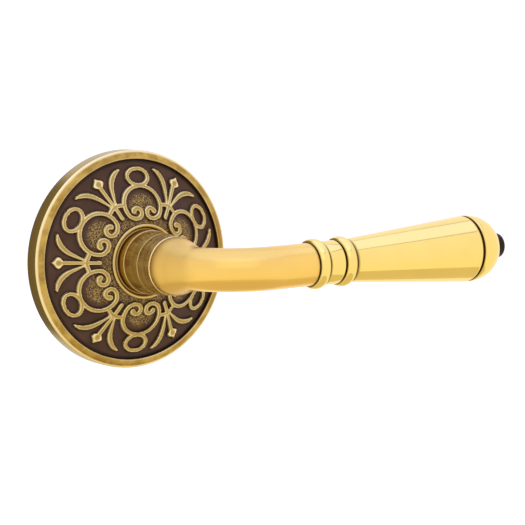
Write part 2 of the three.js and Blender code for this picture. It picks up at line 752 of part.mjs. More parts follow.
// Held still on the door.
piece("rosette", rosette(), agedBrass);
piece("rosette_grub_screw", roseGrubScrew(), blackScrew);
piece("mounting_plate", mountingPlate(), zincPlate);
piece("mounting_post_left", mountingPost(-1), zincPlate);
piece("mounting_post_right", mountingPost(1), zincPlate);
piece("spring_housing", springHousing(), castZinc);
for (const [place, degrees] of Object.entries(screwAngles)) {
  piece(`housing_screw_${place}`, housingScrew(degrees), zincPlate);
}
for (const [place, angle] of Object.entries(stopAngles)) {
  piece(`stop_pin_${place}`, stopPin(angle), springSteel);
}
piece("return_spring", returnSpring(), springSteel);
piece("neck_bush", neckBush(), nylon);

// Turning with the lever.
piece("lever_neck", leverNeck(), satinBrass);
piece("lever_arm", leverArm(), satinBrass);
piece("front_bead", bead(FRONT_BEAD), polishedBrass);
piece("waist_band", waistBand(), polishedBrass);
piece("rear_bead", bead(REAR_BEAD), polishedBrass);
piece("grip", grip(), polishedBrass);
piece("end_cap", endCap(), polishedBrass);
piece("end_button", endButton(), darkBrass);
piece("tie_rod", tieRod(), zincPlate);
piece("spindle", spindle(), zincPlate);
piece("spindle_grub_screw", spindleGrubScrew(), blackScrew);
piece("drive_cam", driveCam(), springSteel);
piece("thrust_washer", thrustWasher(), springSteel);
piece("spring_washer", springWasher(), springSteel);
piece("circlip", circlip(), springSteel);

export default group;
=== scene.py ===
# %% [markdown]
# # A door lever handle on an ornamented rose
# The handle is an aged-brass lever set, one side of a door: a cast rose with scroll ornament, a turned
# neck, a swept elbow, two beads, a flared grip and a domed cap. The working parts come from the packed
# CAD model. This script gives each brass part a finer mesh and every part its finish.
# Lengths are in metres. The door's face is the plane y = 0 and the trim stands out towards -Y.

# %% Load the frame
import json
import math
import bmesh
import bpy
import numpy as np
from mathutils import Matrix, Vector


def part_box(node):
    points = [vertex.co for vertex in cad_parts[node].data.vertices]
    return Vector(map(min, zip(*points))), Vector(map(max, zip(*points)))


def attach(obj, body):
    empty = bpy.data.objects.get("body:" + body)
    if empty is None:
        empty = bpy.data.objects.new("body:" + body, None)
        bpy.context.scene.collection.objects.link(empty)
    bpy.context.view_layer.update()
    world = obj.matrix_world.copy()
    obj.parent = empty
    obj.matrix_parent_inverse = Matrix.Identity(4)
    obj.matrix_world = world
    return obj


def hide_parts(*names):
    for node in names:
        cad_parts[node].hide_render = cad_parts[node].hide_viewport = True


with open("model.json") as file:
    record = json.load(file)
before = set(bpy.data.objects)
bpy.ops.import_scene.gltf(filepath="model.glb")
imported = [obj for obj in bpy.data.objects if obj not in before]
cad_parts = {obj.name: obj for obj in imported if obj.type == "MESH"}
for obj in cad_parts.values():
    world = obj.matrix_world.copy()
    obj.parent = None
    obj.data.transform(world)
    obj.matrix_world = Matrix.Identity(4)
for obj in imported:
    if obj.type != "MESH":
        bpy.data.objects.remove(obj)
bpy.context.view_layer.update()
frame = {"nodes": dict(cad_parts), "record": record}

# %% [markdown]
# ## Sizes
# The overall sizes are read from the CAD nodes' boxes, so this script follows the CAD model. Only the
# shapes inside those boxes, such as the height of the relief, are values of this script.

# %% Read the driving sizes from the frame
MM = 0.001


def box_mm(node):
    """A CAD node's lowest and highest corners in millimetres."""
    low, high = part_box(node)
    return low / MM, high / MM


ROSE_RADIUS = box_mm("rosette")[1].x
neck_low, neck_high = box_mm("lever_neck")
NECK_TOP, NECK_TAIL = -neck_low.y, -neck_high.y
NECK_RADIUS = 9.73  # the foot flange is wider, so the box can't say
grip_low, grip_high = box_mm("grip")
ARM_HEIGHT = -(grip_low.y + grip_high.y) / 2
arm_low, arm_high = box_mm("lever_arm")
ARM_END, ARM_RADIUS = arm_high.x, -arm_low.y - ARM_HEIGHT
print(f"rose radius {ROSE_RADIUS:.2f}, neck {NECK_RADIUS:.2f}, arm height {ARM_HEIGHT:.2f} mm")

# %% [markdown]
# ## Camera
# A long lens from a little above and to the left of the rose, as a catalogue picture would have it. The
# camera is turned and placed by three angles and a distance, and aims at a point near the lever's middle.

# %% Camera
CAMERA_AZIMUTH, CAMERA_ELEVATION, CAMERA_ROLL = (math.radians(a) for a in (-34.15, 6.69, -1.18))
CAMERA_DISTANCE = 615.84 * MM
CAMERA_LENS = 136.9  # millimetres, on a 36 mm sensor
AIM_ACROSS, AIM_UP = 42.59 * MM, -2.29 * MM

back = Vector(
    (
        math.sin(CAMERA_AZIMUTH) * math.cos(CAMERA_ELEVATION),
        -math.cos(CAMERA_AZIMUTH) * math.cos(CAMERA_ELEVATION),
        math.sin(CAMERA_ELEVATION),
    )
)
level = Vector((math.cos(CAMERA_AZIMUTH), math.sin(CAMERA_AZIMUTH), 0))
upright = back.cross(level)
right = level * math.cos(CAMERA_ROLL) + upright * math.sin(CAMERA_ROLL)
up = upright * math.cos(CAMERA_ROLL) - level * math.sin(CAMERA_ROLL)
turn = Matrix((right, up, back)).transposed().to_4x4()

camera = bpy.data.objects.new("camera", bpy.data.cameras.new("camera"))
camera.data.lens = CAMERA_LENS
camera.data.sensor_width = 36
camera.data.clip_start = 0.01
stand = level * AIM_ACROSS + upright * AIM_UP + back * CAMERA_DISTANCE
camera.matrix_world = Matrix.Translation(stand) @ turn
bpy.context.scene.collection.objects.link(camera)
bpy.context.scene.camera = camera
print("camera stands at", [round(c, 3) for c in stand])

# %% [markdown]
# ## Node helper and colours
# Every material and Geometry Nodes tree below is made of nodes, and one small function adds a node with
# its settings and links. Colours are written as sRGB hex values and turned linear by one function.

# %% Helpers for nodes and colours


def linear(hex_colour):
    """An sRGB hex colour as linear red, green, blue and alpha."""
    channels = [int(hex_colour[i : i + 2], 16) / 255 for i in (1, 3, 5)]
    return [c / 12.92 if c <= 0.04045 else ((c + 0.055) / 1.055) ** 2.4 for c in channels] + [1.0]


def add_node(tree, kind, inputs=None, **settings):
    """Adds a node. inputs maps a socket's name or number to a value or to another node's output."""
    node = tree.nodes.new(kind)
    for name, value in settings.items():
        setattr(node, name, value)
    for key, value in (inputs or {}).items():
        socket = node.inputs[key]
        if isinstance(value, bpy.types.NodeSocket):
            tree.links.new(value, socket)
        else:
            socket.default_value = value
    return node


def new_material(name):
    """An empty node material and its tree."""
    material = bpy.data.materials.new(name)
    material.use_nodes = True
    material.node_tree.nodes.clear()
    return material, material.node_tree


def finish_material(material, inputs, bump=None, bump_distance=0.05 * MM):
    """Closes a material with the shader. bump is an optional height socket."""
    tree = material.node_tree
    inputs = dict(inputs)
    if bump is not None:
        relief = {"Height": bump, "Strength": 1.0, "Distance": bump_distance}
        inputs["Normal"] = add_node(tree, "ShaderNodeBump", relief).outputs["Normal"]
    shader = add_node(tree, "ShaderNodeBsdfPrincipled", inputs)
    add_node(tree, "ShaderNodeOutputMaterial", {"Surface": shader.outputs["BSDF"]})
    print(f"material {material.name}: {len(tree.nodes)} nodes")
    return material


# %% [markdown]
# ## Meshes that are turned
# Most of the lever was made on a lathe, so most pieces are an outline spun round an axis. The outline's
# corners get small arcs first, because no real edge is perfectly sharp and the arc is what catches the
# light. A third number beside each point, from 0 to 1, says how much dark patina or painted shade lies
# there, and an optional fourth says how much painted highlight; both are kept on the mesh as attributes
# for the material.

# %% Turned pieces
SPINDLE, ARM = "spindle", "arm"


def rounded(outline, radii, steps=5):
    """The outline with arcs at its corners. Points are [along, radius, patina or painted shade], with an
    optional painted highlight after them; radii are per point.
    """
    result = []
    for i, (point, radius) in enumerate(zip(outline, radii)):
        here = np.array(point, float)
        if radius <= 0:
            result.append(here)
            continue
        before = np.array(outline[i - 1], float)
        after = np.array(outline[(i + 1) % len(outline)], float)
        to_before, to_after = before - here, after - here
        reach_before = min(radius / np.linalg.norm(to_before[:2]), 0.45)
        reach_after = min(radius / np.linalg.norm(to_after[:2]), 0.45)
        start, end = here + to_before * reach_before, here + to_after * reach_after
        for t in np.linspace(0, 1, steps):
            result.append(start * (1 - t) ** 2 + here * 2 * t * (1 - t) + end * t**2)
    return result


def new_piece(name, vertices, faces, attributes=None):
    """A smooth-shaded closed mesh from arrays in millimetres, with its normals outwards."""
    mesh = bpy.data.meshes.new(name)
    mesh.from_pydata([tuple(v) for v in np.asarray(vertices) * MM], [], faces)
    for key, values in (attributes or {}).items():
        mesh.attributes.new(key, "FLOAT", "POINT").data.foreach_set("value", np.asarray(values, np.float32))
    piece = bpy.data.objects.new(name, mesh)
    bpy.context.scene.collection.objects.link(piece)
    tidy_normals(piece)
    return piece


def tidy_normals(piece, sharp_degrees=38):
    """Turns every face outwards and shades smooth, but for real corners."""
    shape = bmesh.new()
    shape.from_mesh(piece.data)
    bmesh.ops.recalc_face_normals(shape, faces=shape.faces)
    if shape.calc_volume(signed=True) < 0:
        bmesh.ops.reverse_faces(shape, faces=shape.faces)
    shape.to_mesh(piece.data)
    shape.free()
    piece.data.shade_smooth()
    piece.data.set_sharp_from_angle(angle=math.radians(sharp_degrees))


def turned(name, outline, axis, segments=144):
    """A closed solid spun round the spindle or the arm, open only where it has a bore."""
    ring_angles = np.linspace(0, 2 * math.pi, segments, endpoint=False)
    vertices, patina_and_shade, painted_highlights, rings = [], [], [], []
    for along, radius, dark, *painted_highlight in outline:
        first = len(vertices)
        angles = ring_angles if radius > 1e-6 else ring_angles[:1]
        for angle in angles:
            across, rise = radius * math.cos(angle), radius * math.sin(angle)
            place = (across, -along, rise) if axis == SPINDLE else (along, -ARM_HEIGHT + across, rise)
            vertices.append(place)
            patina_and_shade.append(dark)
            painted_highlights.append(painted_highlight[0] if painted_highlight else 0)
        rings.append(range(first, len(vertices)))
    on_axis = len(rings[0]) == 1 and len(rings[-1]) == 1
    pairs = list(zip(rings, rings[1:])) + ([] if on_axis else [(rings[-1], rings[0])])
    faces = []
    for near, far in pairs:
        for i in range(segments):
            j = (i + 1) % segments
            corners = [near[i % len(near)], near[j % len(near)], far[j % len(far)], far[i % len(far)]]
            corners = list(dict.fromkeys(corners))
            if len(corners) > 2:
                faces.append(corners)
    return new_piece(name, vertices, faces, {"patina_and_shade": patina_and_shade, "edge": painted_highlights})


def dress(piece, body, node, material):
    """Puts a finished piece in the place of its CAD node."""
    piece.data.materials.clear()
    piece.data.materials.append(material)
    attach(piece, body)
    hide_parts(node)
    print(f"{piece.name}: {len(piece.data.polygons)} faces")


# %% [markdown]
# ## Brass finishes
# All the visible parts are one alloy, yellow brass, in four states: cast and darkened, turned and left
# with its tool lines, brushed satin, and polished. Aged-brass hardware is darkened all over in a bath and
# then relieved: what stands proud is buffed back to gold, and the brown stays in the recesses. So each
# finish mixes one brown patina with one gold metal, and the mesh's own attributes say where. The same
# brown is also laid on some flanks as painted shade, and some edges get a painted highlight.

# %% Polished brass of the beads, grip and cap
# the brown of the patina in the seams, also laid as painted shade and painted dark reflection on some flanks
PATINA_AND_SHADE_BROWN = linear("#4E2C0E")


def polished_brass():
    """Buffed yellow brass: a clear mirror with faint clouding, and brown left in the seams."""
    material, tree = new_material("polished_yellow_brass_buffed")
    place = add_node(tree, "ShaderNodeTexCoord").outputs["Object"]
    haze = add_node(
        tree, "ShaderNodeTexNoise", {"Vector": place, "Scale": 1 / (9 * MM), "Detail": 3.0}
    ).outputs["Fac"]
    seam_and_shade = add_node(tree, "ShaderNodeAttribute", attribute_name="patina_and_shade").outputs["Fac"]
    gold = add_node(
        tree,
        "ShaderNodeMix",
        {"Factor": haze, 6: linear("#F7D97C"), 7: linear("#FEE286")},
        data_type="RGBA",
    ).outputs[2]
    colour = add_node(
        tree, "ShaderNodeMix", {"Factor": seam_and_shade, 6: gold, 7: PATINA_AND_SHADE_BROWN}, data_type="RGBA"
    ).outputs[2]
    rough = add_node(
        tree,
        "ShaderNodeMapRange",
        {"Value": haze, "From Min": 0.3, "From Max": 0.7, "To Min": 0.05, "To Max": 0.1},
    ).outputs["Result"]
    rough_seam = add_node(tree, "ShaderNodeMix", {"Factor": seam_and_shade, "A": rough, "B": 0.5}).outputs[0]
    return finish_material(
        material,
        {
            "Base Color": colour,
            "Metallic": 1.0,
            "Roughness": rough_seam,
        },
    )


POLISHED_BRASS = polished_brass()

# %% Satin brass of the elbow and arm


def satin_brass():
    """Brushed yellow brass: fine scratches too small to see singly, which blur what it mirrors."""
    material, tree = new_material("satin_yellow_brass_brushed")
    place = add_node(tree, "ShaderNodeTexCoord").outputs["Object"]
    cloud = add_node(
        tree, "ShaderNodeTexNoise", {"Vector": place, "Scale": 1 / (12 * MM), "Detail": 4.0}
    ).outputs["Fac"]
    grit = add_node(
        tree, "ShaderNodeTexNoise", {"Vector": place, "Scale": 1 / (0.35 * MM), "Detail": 2.0}
    ).outputs["Fac"]
    seam_and_shade = add_node(tree, "ShaderNodeAttribute", attribute_name="patina_and_shade").outputs["Fac"]
    gold = add_node(
        tree,
        "ShaderNodeMix",
        {"Factor": cloud, 6: linear("#F6C968"), 7: linear("#FFD676")},
        data_type="RGBA",
    ).outputs[2]
    # painted shade: a brown laid where the elbow would mirror the dark rose, and on the upper side of the
    # elbow and the arm's start
    painted_shade = add_node(tree, "ShaderNodeAttribute", attribute_name="painted_shade").outputs["Fac"]
    colour = gold
    for where, layer in ((painted_shade, linear("#8E6A2C")), (seam_and_shade, PATINA_AND_SHADE_BROWN)):
        inputs = {"Factor": where, 6: colour, 7: layer}
        colour = add_node(tree, "ShaderNodeMix", inputs, data_type="RGBA").outputs[2]
    rough = add_node(
        tree,
        "ShaderNodeMapRange",
        {"Value": cloud, "From Min": 0.3, "From Max": 0.7, "To Min": 0.2, "To Max": 0.26},
    ).outputs["Result"]
    dulled = add_node(
        tree, "ShaderNodeMath", {0: painted_shade, 1: 0.35, 2: rough}, operation="MULTIPLY_ADD"
    ).outputs["Value"]
    return finish_material(
        material,
        {"Base Color": colour, "Metallic": 1.0, "Roughness": dulled},
        grit,
        0.004 * MM,
    )


SATIN_BRASS = satin_brass()

# %% Turned brass of the neck
FEED, SCRATCH = 0.5, 0.6  # spacing of tool rings and scratches in millimetres, real ones are under 0.1
ROUND_NECK, ROUND_SCRATCH = 60, 40  # how little either changes round the neck, per metre


def turned_brass():
    """Lathe-turned brass: rings from the tool, coarser than real so that they show, over a browner gold, with
    painted highlights along the neck's step, turned line and crease.
    """
    material, tree = new_material("turned_brass_lightly_aged")
    place = add_node(tree, "ShaderNodeTexCoord").outputs["Object"]
    # one noise stretched round the neck is the tool's feed, and one tilted from it is cloth scratches
    feed = add_node(
        tree,
        "ShaderNodeMapping",
        {"Vector": place, "Scale": (ROUND_NECK, 1 / (FEED * MM), ROUND_NECK)},
    ).outputs["Vector"]
    rings = add_node(
        tree, "ShaderNodeTexNoise", {"Vector": feed, "Scale": 1.0, "Detail": 3.0}
    ).outputs["Fac"]
    tilt = add_node(
        tree,
        "ShaderNodeMapping",
        {
            "Vector": place,
            "Rotation": (math.radians(14), 0, math.radians(-9)),
            "Scale": (ROUND_SCRATCH, 1 / (SCRATCH * MM), ROUND_SCRATCH),
        },
    ).outputs["Vector"]
    strokes = add_node(
        tree, "ShaderNodeTexNoise", {"Vector": tilt, "Scale": 1.0, "Detail": 2.0}
    ).outputs["Fac"]
    both = add_node(tree, "ShaderNodeMath", {0: rings, 1: strokes}, operation="MAXIMUM").outputs["Value"]
    cloud = add_node(
        tree, "ShaderNodeTexNoise", {"Vector": place, "Scale": 1 / (7 * MM), "Detail": 5.0}
    ).outputs["Fac"]
    seam_and_shade = add_node(tree, "ShaderNodeAttribute", attribute_name="patina_and_shade").outputs["Fac"]
    gold = add_node(
        tree,
        "ShaderNodeMix",
        {"Factor": cloud, 6: linear("#AA873A"), 7: linear("#CEA84A")},
        data_type="RGBA",
    ).outputs[2]
    lined = add_node(
        tree,
        "ShaderNodeMapRange",
        {"Value": both, "From Min": 0.5, "From Max": 0.75, "To Min": 0.0, "To Max": 0.8},
    ).outputs["Result"]
    painted_highlights = add_node(tree, "ShaderNodeAttribute", attribute_name="edge").outputs["Fac"]
    # painted highlight: a pale cream on the neck's step, turned line and crease, and a brightening towards
    # the elbow
    colour = gold
    for where, layer in ((lined, linear("#E8D294")), (seam_and_shade, PATINA_AND_SHADE_BROWN), (painted_highlights, linear("#F8DE9C"))):
        inputs = {"Factor": where, 6: colour, 7: layer}
        colour = add_node(tree, "ShaderNodeMix", inputs, data_type="RGBA").outputs[2]
    rough = add_node(
        tree,
        "ShaderNodeMapRange",
        {"Value": cloud, "From Min": 0.3, "From Max": 0.7, "To Min": 0.22, "To Max": 0.36},
    ).outputs["Result"]
    return finish_material(
        material,
        {"Base Color": colour, "Metallic": 1.0, "Roughness": rough},
        rings,
        0.012 * MM,
    )


TURNED_BRASS = turned_brass()

# %% Aged cast brass of the rose
ROSE_MARKS = ("raised", "edge", "rim", "wall", "ground", "hollow_patina_and_shade")  # the rose mesh's attributes


def aged_cast_brass():
    """Sand-cast brass, darkened and relieved: brown field, darkest with patina and painted shade at the feet
    of the ornament and the rim, and gold ornament with bright rubbed edges that also carry a painted
    highlight.
    """
    material, tree = new_material("cast_brass_darkened_and_relieved")
    place = add_node(tree, "ShaderNodeTexCoord").outputs["Object"]
    mask = {}
    for mark in ROSE_MARKS:
        mask[mark] = add_node(tree, "ShaderNodeAttribute", attribute_name=mark).outputs["Fac"]
    # clouding of the bath, specks of the sand, and longer smears where a cloth rubbed
    noise = {}
    for label, size_mm, detail in (("cloud", 6, 6.0), ("speck", 0.5, 3.0), ("smear", 4, 6.0)):
        inputs = {"Vector": place, "Scale": 1 / (size_mm * MM), "Detail": detail}
        noise[label] = add_node(tree, "ShaderNodeTexNoise", inputs).outputs["Fac"]
    spots = add_node(
        tree, "ShaderNodeMapRange", {"Value": noise["speck"], "From Min": 0.45, "From Max": 0.62}
    ).outputs["Result"]
    rubbed = add_node(
        tree, "ShaderNodeMath", {0: spots, 1: mask["ground"]}, operation="MULTIPLY"
    ).outputs["Value"]
    worn = add_node(
        tree, "ShaderNodeMapRange", {"Value": noise["smear"], "From Min": 0.42, "From Max": 0.62}
    ).outputs["Result"]
    # each row lays one colour over another, or over an earlier row, where its mask says
    colour = {}
    for label, where, below, above in (
        ("brown", noise["cloud"], "#3A2519", "#5E4231"),
        ("floor", rubbed, "brown", "#A58A4C"),
        # patina and painted shade: a near-black brown at the feet of the ornament and along the rim's foot
        ("pooled", mask["hollow_patina_and_shade"], "floor", "#1F130A"),
        ("gold", noise["speck"], "#B29550", "#DCBD72"),
        ("band", worn, "#A8853E", "#C8A658"),
        ("banded", mask["rim"], "gold", "band"),
        # rubbed edges with a painted highlight along them, a pale cream
        ("edged", mask["edge"], "banded", "#FBE7AE"),
        ("metal", mask["raised"], "pooled", "edged"),
        ("all", mask["wall"], "metal", "#B09A5C"),
    ):
        layers = [linear(layer) if layer[0] == "#" else colour[layer] for layer in (below, above)]
        inputs = {"Factor": where, 6: layers[0], 7: layers[1]}
        colour[label] = add_node(tree, "ShaderNodeMix", inputs, data_type="RGBA").outputs[2]
    metallic, rough = (
        add_node(tree, "ShaderNodeMapRange", {"Value": mask["raised"], "To Min": low, "To Max": high})
        for low, high in ((0.7, 1.0), (0.46, 0.26))
    )
    return finish_material(
        material,
        {
            "Base Color": colour["all"],
            "Metallic": metallic.outputs["Result"],
            "Roughness": rough.outputs["Result"],
        },
        noise["speck"],
        0.03 * MM,
    )


AGED_CAST_BRASS = aged_cast_brass()

# %% [markdown]
# ## The rose
# The rose is one casting: rim, domed field and ornament are a single skin. Carving the ornament with
# booleans would work, but the soft feet of a casting are easier as a height map: a ring-shaped grid of
# points whose height comes from the distance to the nearest line of the ornament. The lines are few:
# a C-scroll, a small ring, and a palmette, drawn once for half of one sector. The whole rose is that
# half sector mirrored and repeated six times. Grid points close to a line's edge are pulled on to it
# first, so the relief has clean outlines.

# %% The ornament's lines, in millimetres: x across the motif, y outwards from the spindle
SECTORS = 6
CLOCKING = math.radians(-2.55)
HALF_SECTOR = math.pi / SECTORS


def stroke(points, half_widths):
    """Many close samples of a smooth line: x, y and the line's half width there."""
    points = np.asarray(points, float)
    steps = np.linalg.norm(np.diff(points, axis=0), axis=1)
    at = np.concatenate([[0], np.cumsum(steps)])
    fine = np.linspace(0, at[-1], max(int(at[-1] / 0.06), 8))
    share = fine / at[-1]
    widths = half_widths(share)
    return np.stack([np.interp(fine, at, points[:, 0]), np.interp(fine, at, points[:, 1]), widths], 1)


def ellipse(centre, radii, degrees):
    angle = np.radians(degrees)
    return np.stack([centre[0] + radii[0] * np.cos(angle), centre[1] + radii[1] * np.sin(angle)], 1)


def scroll_stroke():
    """Half of the C: an elliptical arc from its top, which winds into a volute."""
    arc = ellipse((0, 17.1), (6.3, 5.65), np.linspace(90, -35, 60))
    eye = np.array([2.3, 14.8])
    eye_radius, fade, curl = 1.3, 50, 322
    start = arc[-1] - eye
    start_angle = math.degrees(math.atan2(start[1], start[0]))
    degrees = np.linspace(0, curl, 140)[1:]
    radius = eye_radius + (np.hypot(*start) - eye_radius) * np.exp(-degrees / fade)
    angle = np.radians(start_angle - degrees)
    volute = eye + np.stack([radius * np.cos(angle), radius * np.sin(angle)], 1)
    return stroke(np.concatenate([arc, volute]), lambda share: 0.6 + 0.14 * share + 0.12 * (share > 0.985))


def ring_stroke():
    return stroke(ellipse((0, 25.45), (3.55, 2.5), np.linspace(-90, 90, 90)), lambda share: 0.62 + 0 * share)


def bezier(corners, count=40):
    a, b, c, d = (np.array(p, float) for p in corners)
    t = np.linspace(0, 1, count)[:, None]
    return a * (1 - t) ** 3 + 3 * b * t * (1 - t) ** 2 + 3 * c * t**2 * (1 - t) + d * t**3


def leaf_stroke():
    line = bezier([(0.5, 18.6), (2.3, 22.8), (3.7, 26.9), (8.5, 26.9)])
    return stroke(line, lambda share: 0.3 + 0.5 * np.sin(np.pi * share**1.7) ** 0.8 - 0.02 * share)


def bud_samples():
    """A small pointed bud, filled with short rows, so that its outline keeps its corners."""
    outwards = [25.2, 25.8, 26.3, 26.8, 27.2, 27.6, 28.0, 28.3, 28.7]
    half_width = [0.6, 0.85, 1.6, 1.8, 1.5, 0.95, 0.5, 0.34, 0.26]
    point = 0.25
    samples = []
    for y in np.arange(outwards[0], outwards[-1] - point, 0.12):
        reach = max(np.interp(y, outwards, half_width) - point, 0)
        samples += [[x, y, point] for x in np.linspace(-reach, reach, 15)]
    samples.append([0, 26.75, 1.15])
    return np.array(samples)


PALMETTE_NODE = 19.0  # where the palmette's stem, leaves and feet meet
scroll_lines = np.concatenate([scroll_stroke(), ring_stroke()])
palmette_lines = np.concatenate(
    [
        leaf_stroke(),
        stroke([(0, 15.1), (0, PALMETTE_NODE)], lambda share: 0.62 + 0 * share),
        stroke([(0, PALMETTE_NODE), (0, 25.6)], lambda share: 0.5 + 0.2 * share),
        bud_samples(),
        stroke(
            bezier([(0, PALMETTE_NODE), (1.3, 18.9), (2.1, 18.2), (3.1, 18.0)]),
            lambda share: 0.68 - 0.1 * share,
        ),
    ]
)
print("ornament samples:", len(scroll_lines), len(palmette_lines))

# %% Distance to the ornament


def ornament_distance(radius, angle):
    """Signed distance to the nearest outline, below 0 on the ornament. angle is from a scroll's axis."""
    scroll_place = np.stack([radius * np.sin(angle), radius * np.cos(angle)], 1)
    leaf_angle = HALF_SECTOR - angle
    leaf_place = np.stack([radius * np.sin(leaf_angle), radius * np.cos(leaf_angle)], 1)
    best = np.full(len(radius), 9.0)
    for place, lines in ((scroll_place, scroll_lines), (leaf_place, palmette_lines)):
        for chunk in np.array_split(np.arange(len(radius)), 12):
            gap = np.hypot(*(place[chunk, None, :] - lines[None, :, :2]).transpose(2, 0, 1)) - lines[:, 2]
            best[chunk] = np.minimum(best[chunk], gap.min(1))
    return best


def smooth_step(low, high, value):
    t = np.clip((value - low) / (high - low), 0, 1)
    return t * t * (3 - 2 * t)


# %% The dome under the ornament
RIM_TOP, RIM_EDGE = 6.1, 5.25
FIELD_RADIUS = 30.8
DOME_TOP, DOME_SWAY = 12.85, 0.045
BEAD_RING, BEAD_ROUND = 10.9, 0.58
BORE = 10.3
RELIEF, SKIN, WALL = 0.9, 1.4, 2.0  # height of the ornament, and the casting's thickness


def dome_height(radius):
    """Height of the ornament's top at a radius: a cone that eases in at both ends."""
    inward = (FIELD_RADIUS - radius) / (FIELD_RADIUS - BEAD_RING - BEAD_ROUND)
    return RIM_TOP + (DOME_TOP - RIM_TOP) * (inward - DOME_SWAY * np.sin(2 * math.pi * inward))


# %% Build the rose as one skin of rings
COLUMNS = 60  # in half a sector
FIELD_RINGS = 100
WALL_WIDTH = 0.15  # of the slope at a line's edge
PROBE = 0.02  # step that measures which way an edge lies
TROUGH = 0.1  # how far a line's middle sinks below its edges
LOOP_CENTRE, LOOP_RADII = 16.3, (5.6, 4.9)  # of the punched patch inside a scroll
COLLAR_EDGES = (15.6, 12.4)  # where the punched collar round the bead ring fades in
RIM_ROUND = 0.45


def relief_grid():
    """Radius, angle, height and finish of the field's grid over half a sector."""
    radii = np.linspace(FIELD_RADIUS - 0.12, BEAD_RING + BEAD_ROUND, FIELD_RINGS)
    angles = np.linspace(0, HALF_SECTOR, COLUMNS + 1)
    radius, angle = (a.ravel() for a in np.meshgrid(radii, angles, indexing="ij"))
    spacing = radii[0] - radii[1]
    inner = (radius < radii[0] - 1e-6) & (radius > radii[-1] + 1e-6)
    for _ in range(2):
        distance = ornament_distance(radius, angle)
        slope_out = (ornament_distance(radius + PROBE, angle) - distance) / PROBE
        slope_round = (ornament_distance(radius, angle + PROBE / radius) - distance) / PROBE
        near = inner & (np.abs(distance) < 0.45 * spacing)
        radius = radius - np.where(near, distance * slope_out, 0)
        on_axis = (angle < 1e-9) | (angle > HALF_SECTOR - 1e-9)
        angle = angle - np.where(near & ~on_axis, distance * slope_round / radius, 0)
    distance = ornament_distance(radius, angle)
    rise = smooth_step(WALL_WIDTH, -0.08, distance)
    trough = TROUGH * smooth_step(-0.28, -0.6, distance)
    height = dome_height(radius) - RELIEF * (1 - rise) - trough
    across, out = radius * np.sin(angle), radius * np.cos(angle) - LOOP_CENTRE
    loop = np.hypot(across / LOOP_RADII[0], out / LOOP_RADII[1])
    collar = smooth_step(*COLLAR_EDGES, radius)
    ground = np.maximum(smooth_step(1.02, 0.5, loop), 0.8 * collar)
    return {
        "radius": radius,
        "angle": angle,
        "height": height,
        "raised": smooth_step(0.1, -0.06, distance) * (1 - 0.3 * smooth_step(-0.25, -0.6, distance)),
        # rubbed edge and painted highlight along the ornament's top edges
        "edge": np.exp(-(((distance + 0.13) / 0.13) ** 2)),
        "ground": ground * (1 - rise),
        # patina and painted shade at the feet of the ornament's walls and inside the rim
        "hollow_patina_and_shade": np.maximum(
            0.85 * np.exp(-np.clip(distance - WALL_WIDTH, 0, None) / 0.28),
            0.9 * smooth_step(FIELD_RADIUS - 1.6, FIELD_RADIUS - 0.3, radius),
        ),
    }


def rose_rings():
    """Rings of the rim, bead ring, bore and underside, as [radius, height, raised, edge, rim, wall]."""
    inside = ROSE_RADIUS - WALL
    rim = [[ROSE_RADIUS, 0, 1, 0, 1, 1], [ROSE_RADIUS, RIM_EDGE - RIM_ROUND, 1, 0, 1, 1]]
    # the edge column marks rubbed edges that also carry a painted highlight, here along the rim's rounded
    # outer edge and, below, its inner lip
    for degrees in (20, 45, 70, 90):
        angle = math.radians(degrees)
        in_by, down_by = RIM_ROUND * (1 - math.cos(angle)), RIM_ROUND * (1 - math.sin(angle))
        rim.append([ROSE_RADIUS - in_by, RIM_EDGE - down_by, 1, 0.9, 1, 0])
    for share in (0.2, 0.45, 0.7, 0.88):
        swell = 0.16 * math.sin(math.pi * share)
        radius = ROSE_RADIUS - RIM_ROUND + (FIELD_RADIUS + 0.25 - ROSE_RADIUS + RIM_ROUND) * share
        rim.append([radius, RIM_EDGE + (RIM_TOP - RIM_EDGE) * share + swell, 1, 0, 1, 0])
    rim += [[FIELD_RADIUS + 0.2, RIM_TOP, 1, 0.4, 1, 0], [FIELD_RADIUS + 0.04, RIM_TOP - 0.12, 1, 0.3, 1, 0]]
    rim.append([FIELD_RADIUS, RIM_TOP - 0.4, 0.3, 0, 1, 0])
    foot = dome_height(BEAD_RING + BEAD_ROUND) - RELIEF
    bead = []
    for degrees in range(-10, 171, 18):
        angle = math.radians(degrees)
        gold = float(smooth_step(-0.4, 0.5, math.sin(angle)))
        radius = BEAD_RING + BEAD_ROUND * math.cos(angle)
        # the bead ring's top gets a faint rubbed edge and painted highlight
        bead.append([radius, foot + BEAD_ROUND + BEAD_ROUND * math.sin(angle), gold, 0.2 * gold, 0, 0])
    bore = [[BORE, foot + 0.45, 0, 0, 0, 0], [BORE, float(dome_height(BORE)) - RELIEF - SKIN, 0, 0, 0, 0]]
    under = []
    for radius in np.linspace(13, inside - 0.5, 4):
        under.append([radius, float(dome_height(radius)) - RELIEF - SKIN, 0, 0, 0, 0])
    under.append([inside, float(dome_height(inside)) - RELIEF - SKIN - 0.4, 0, 0, 0, 0])
    under.append([inside, 0.0, 0, 0, 0, 0])
    return rim, bead + bore + under


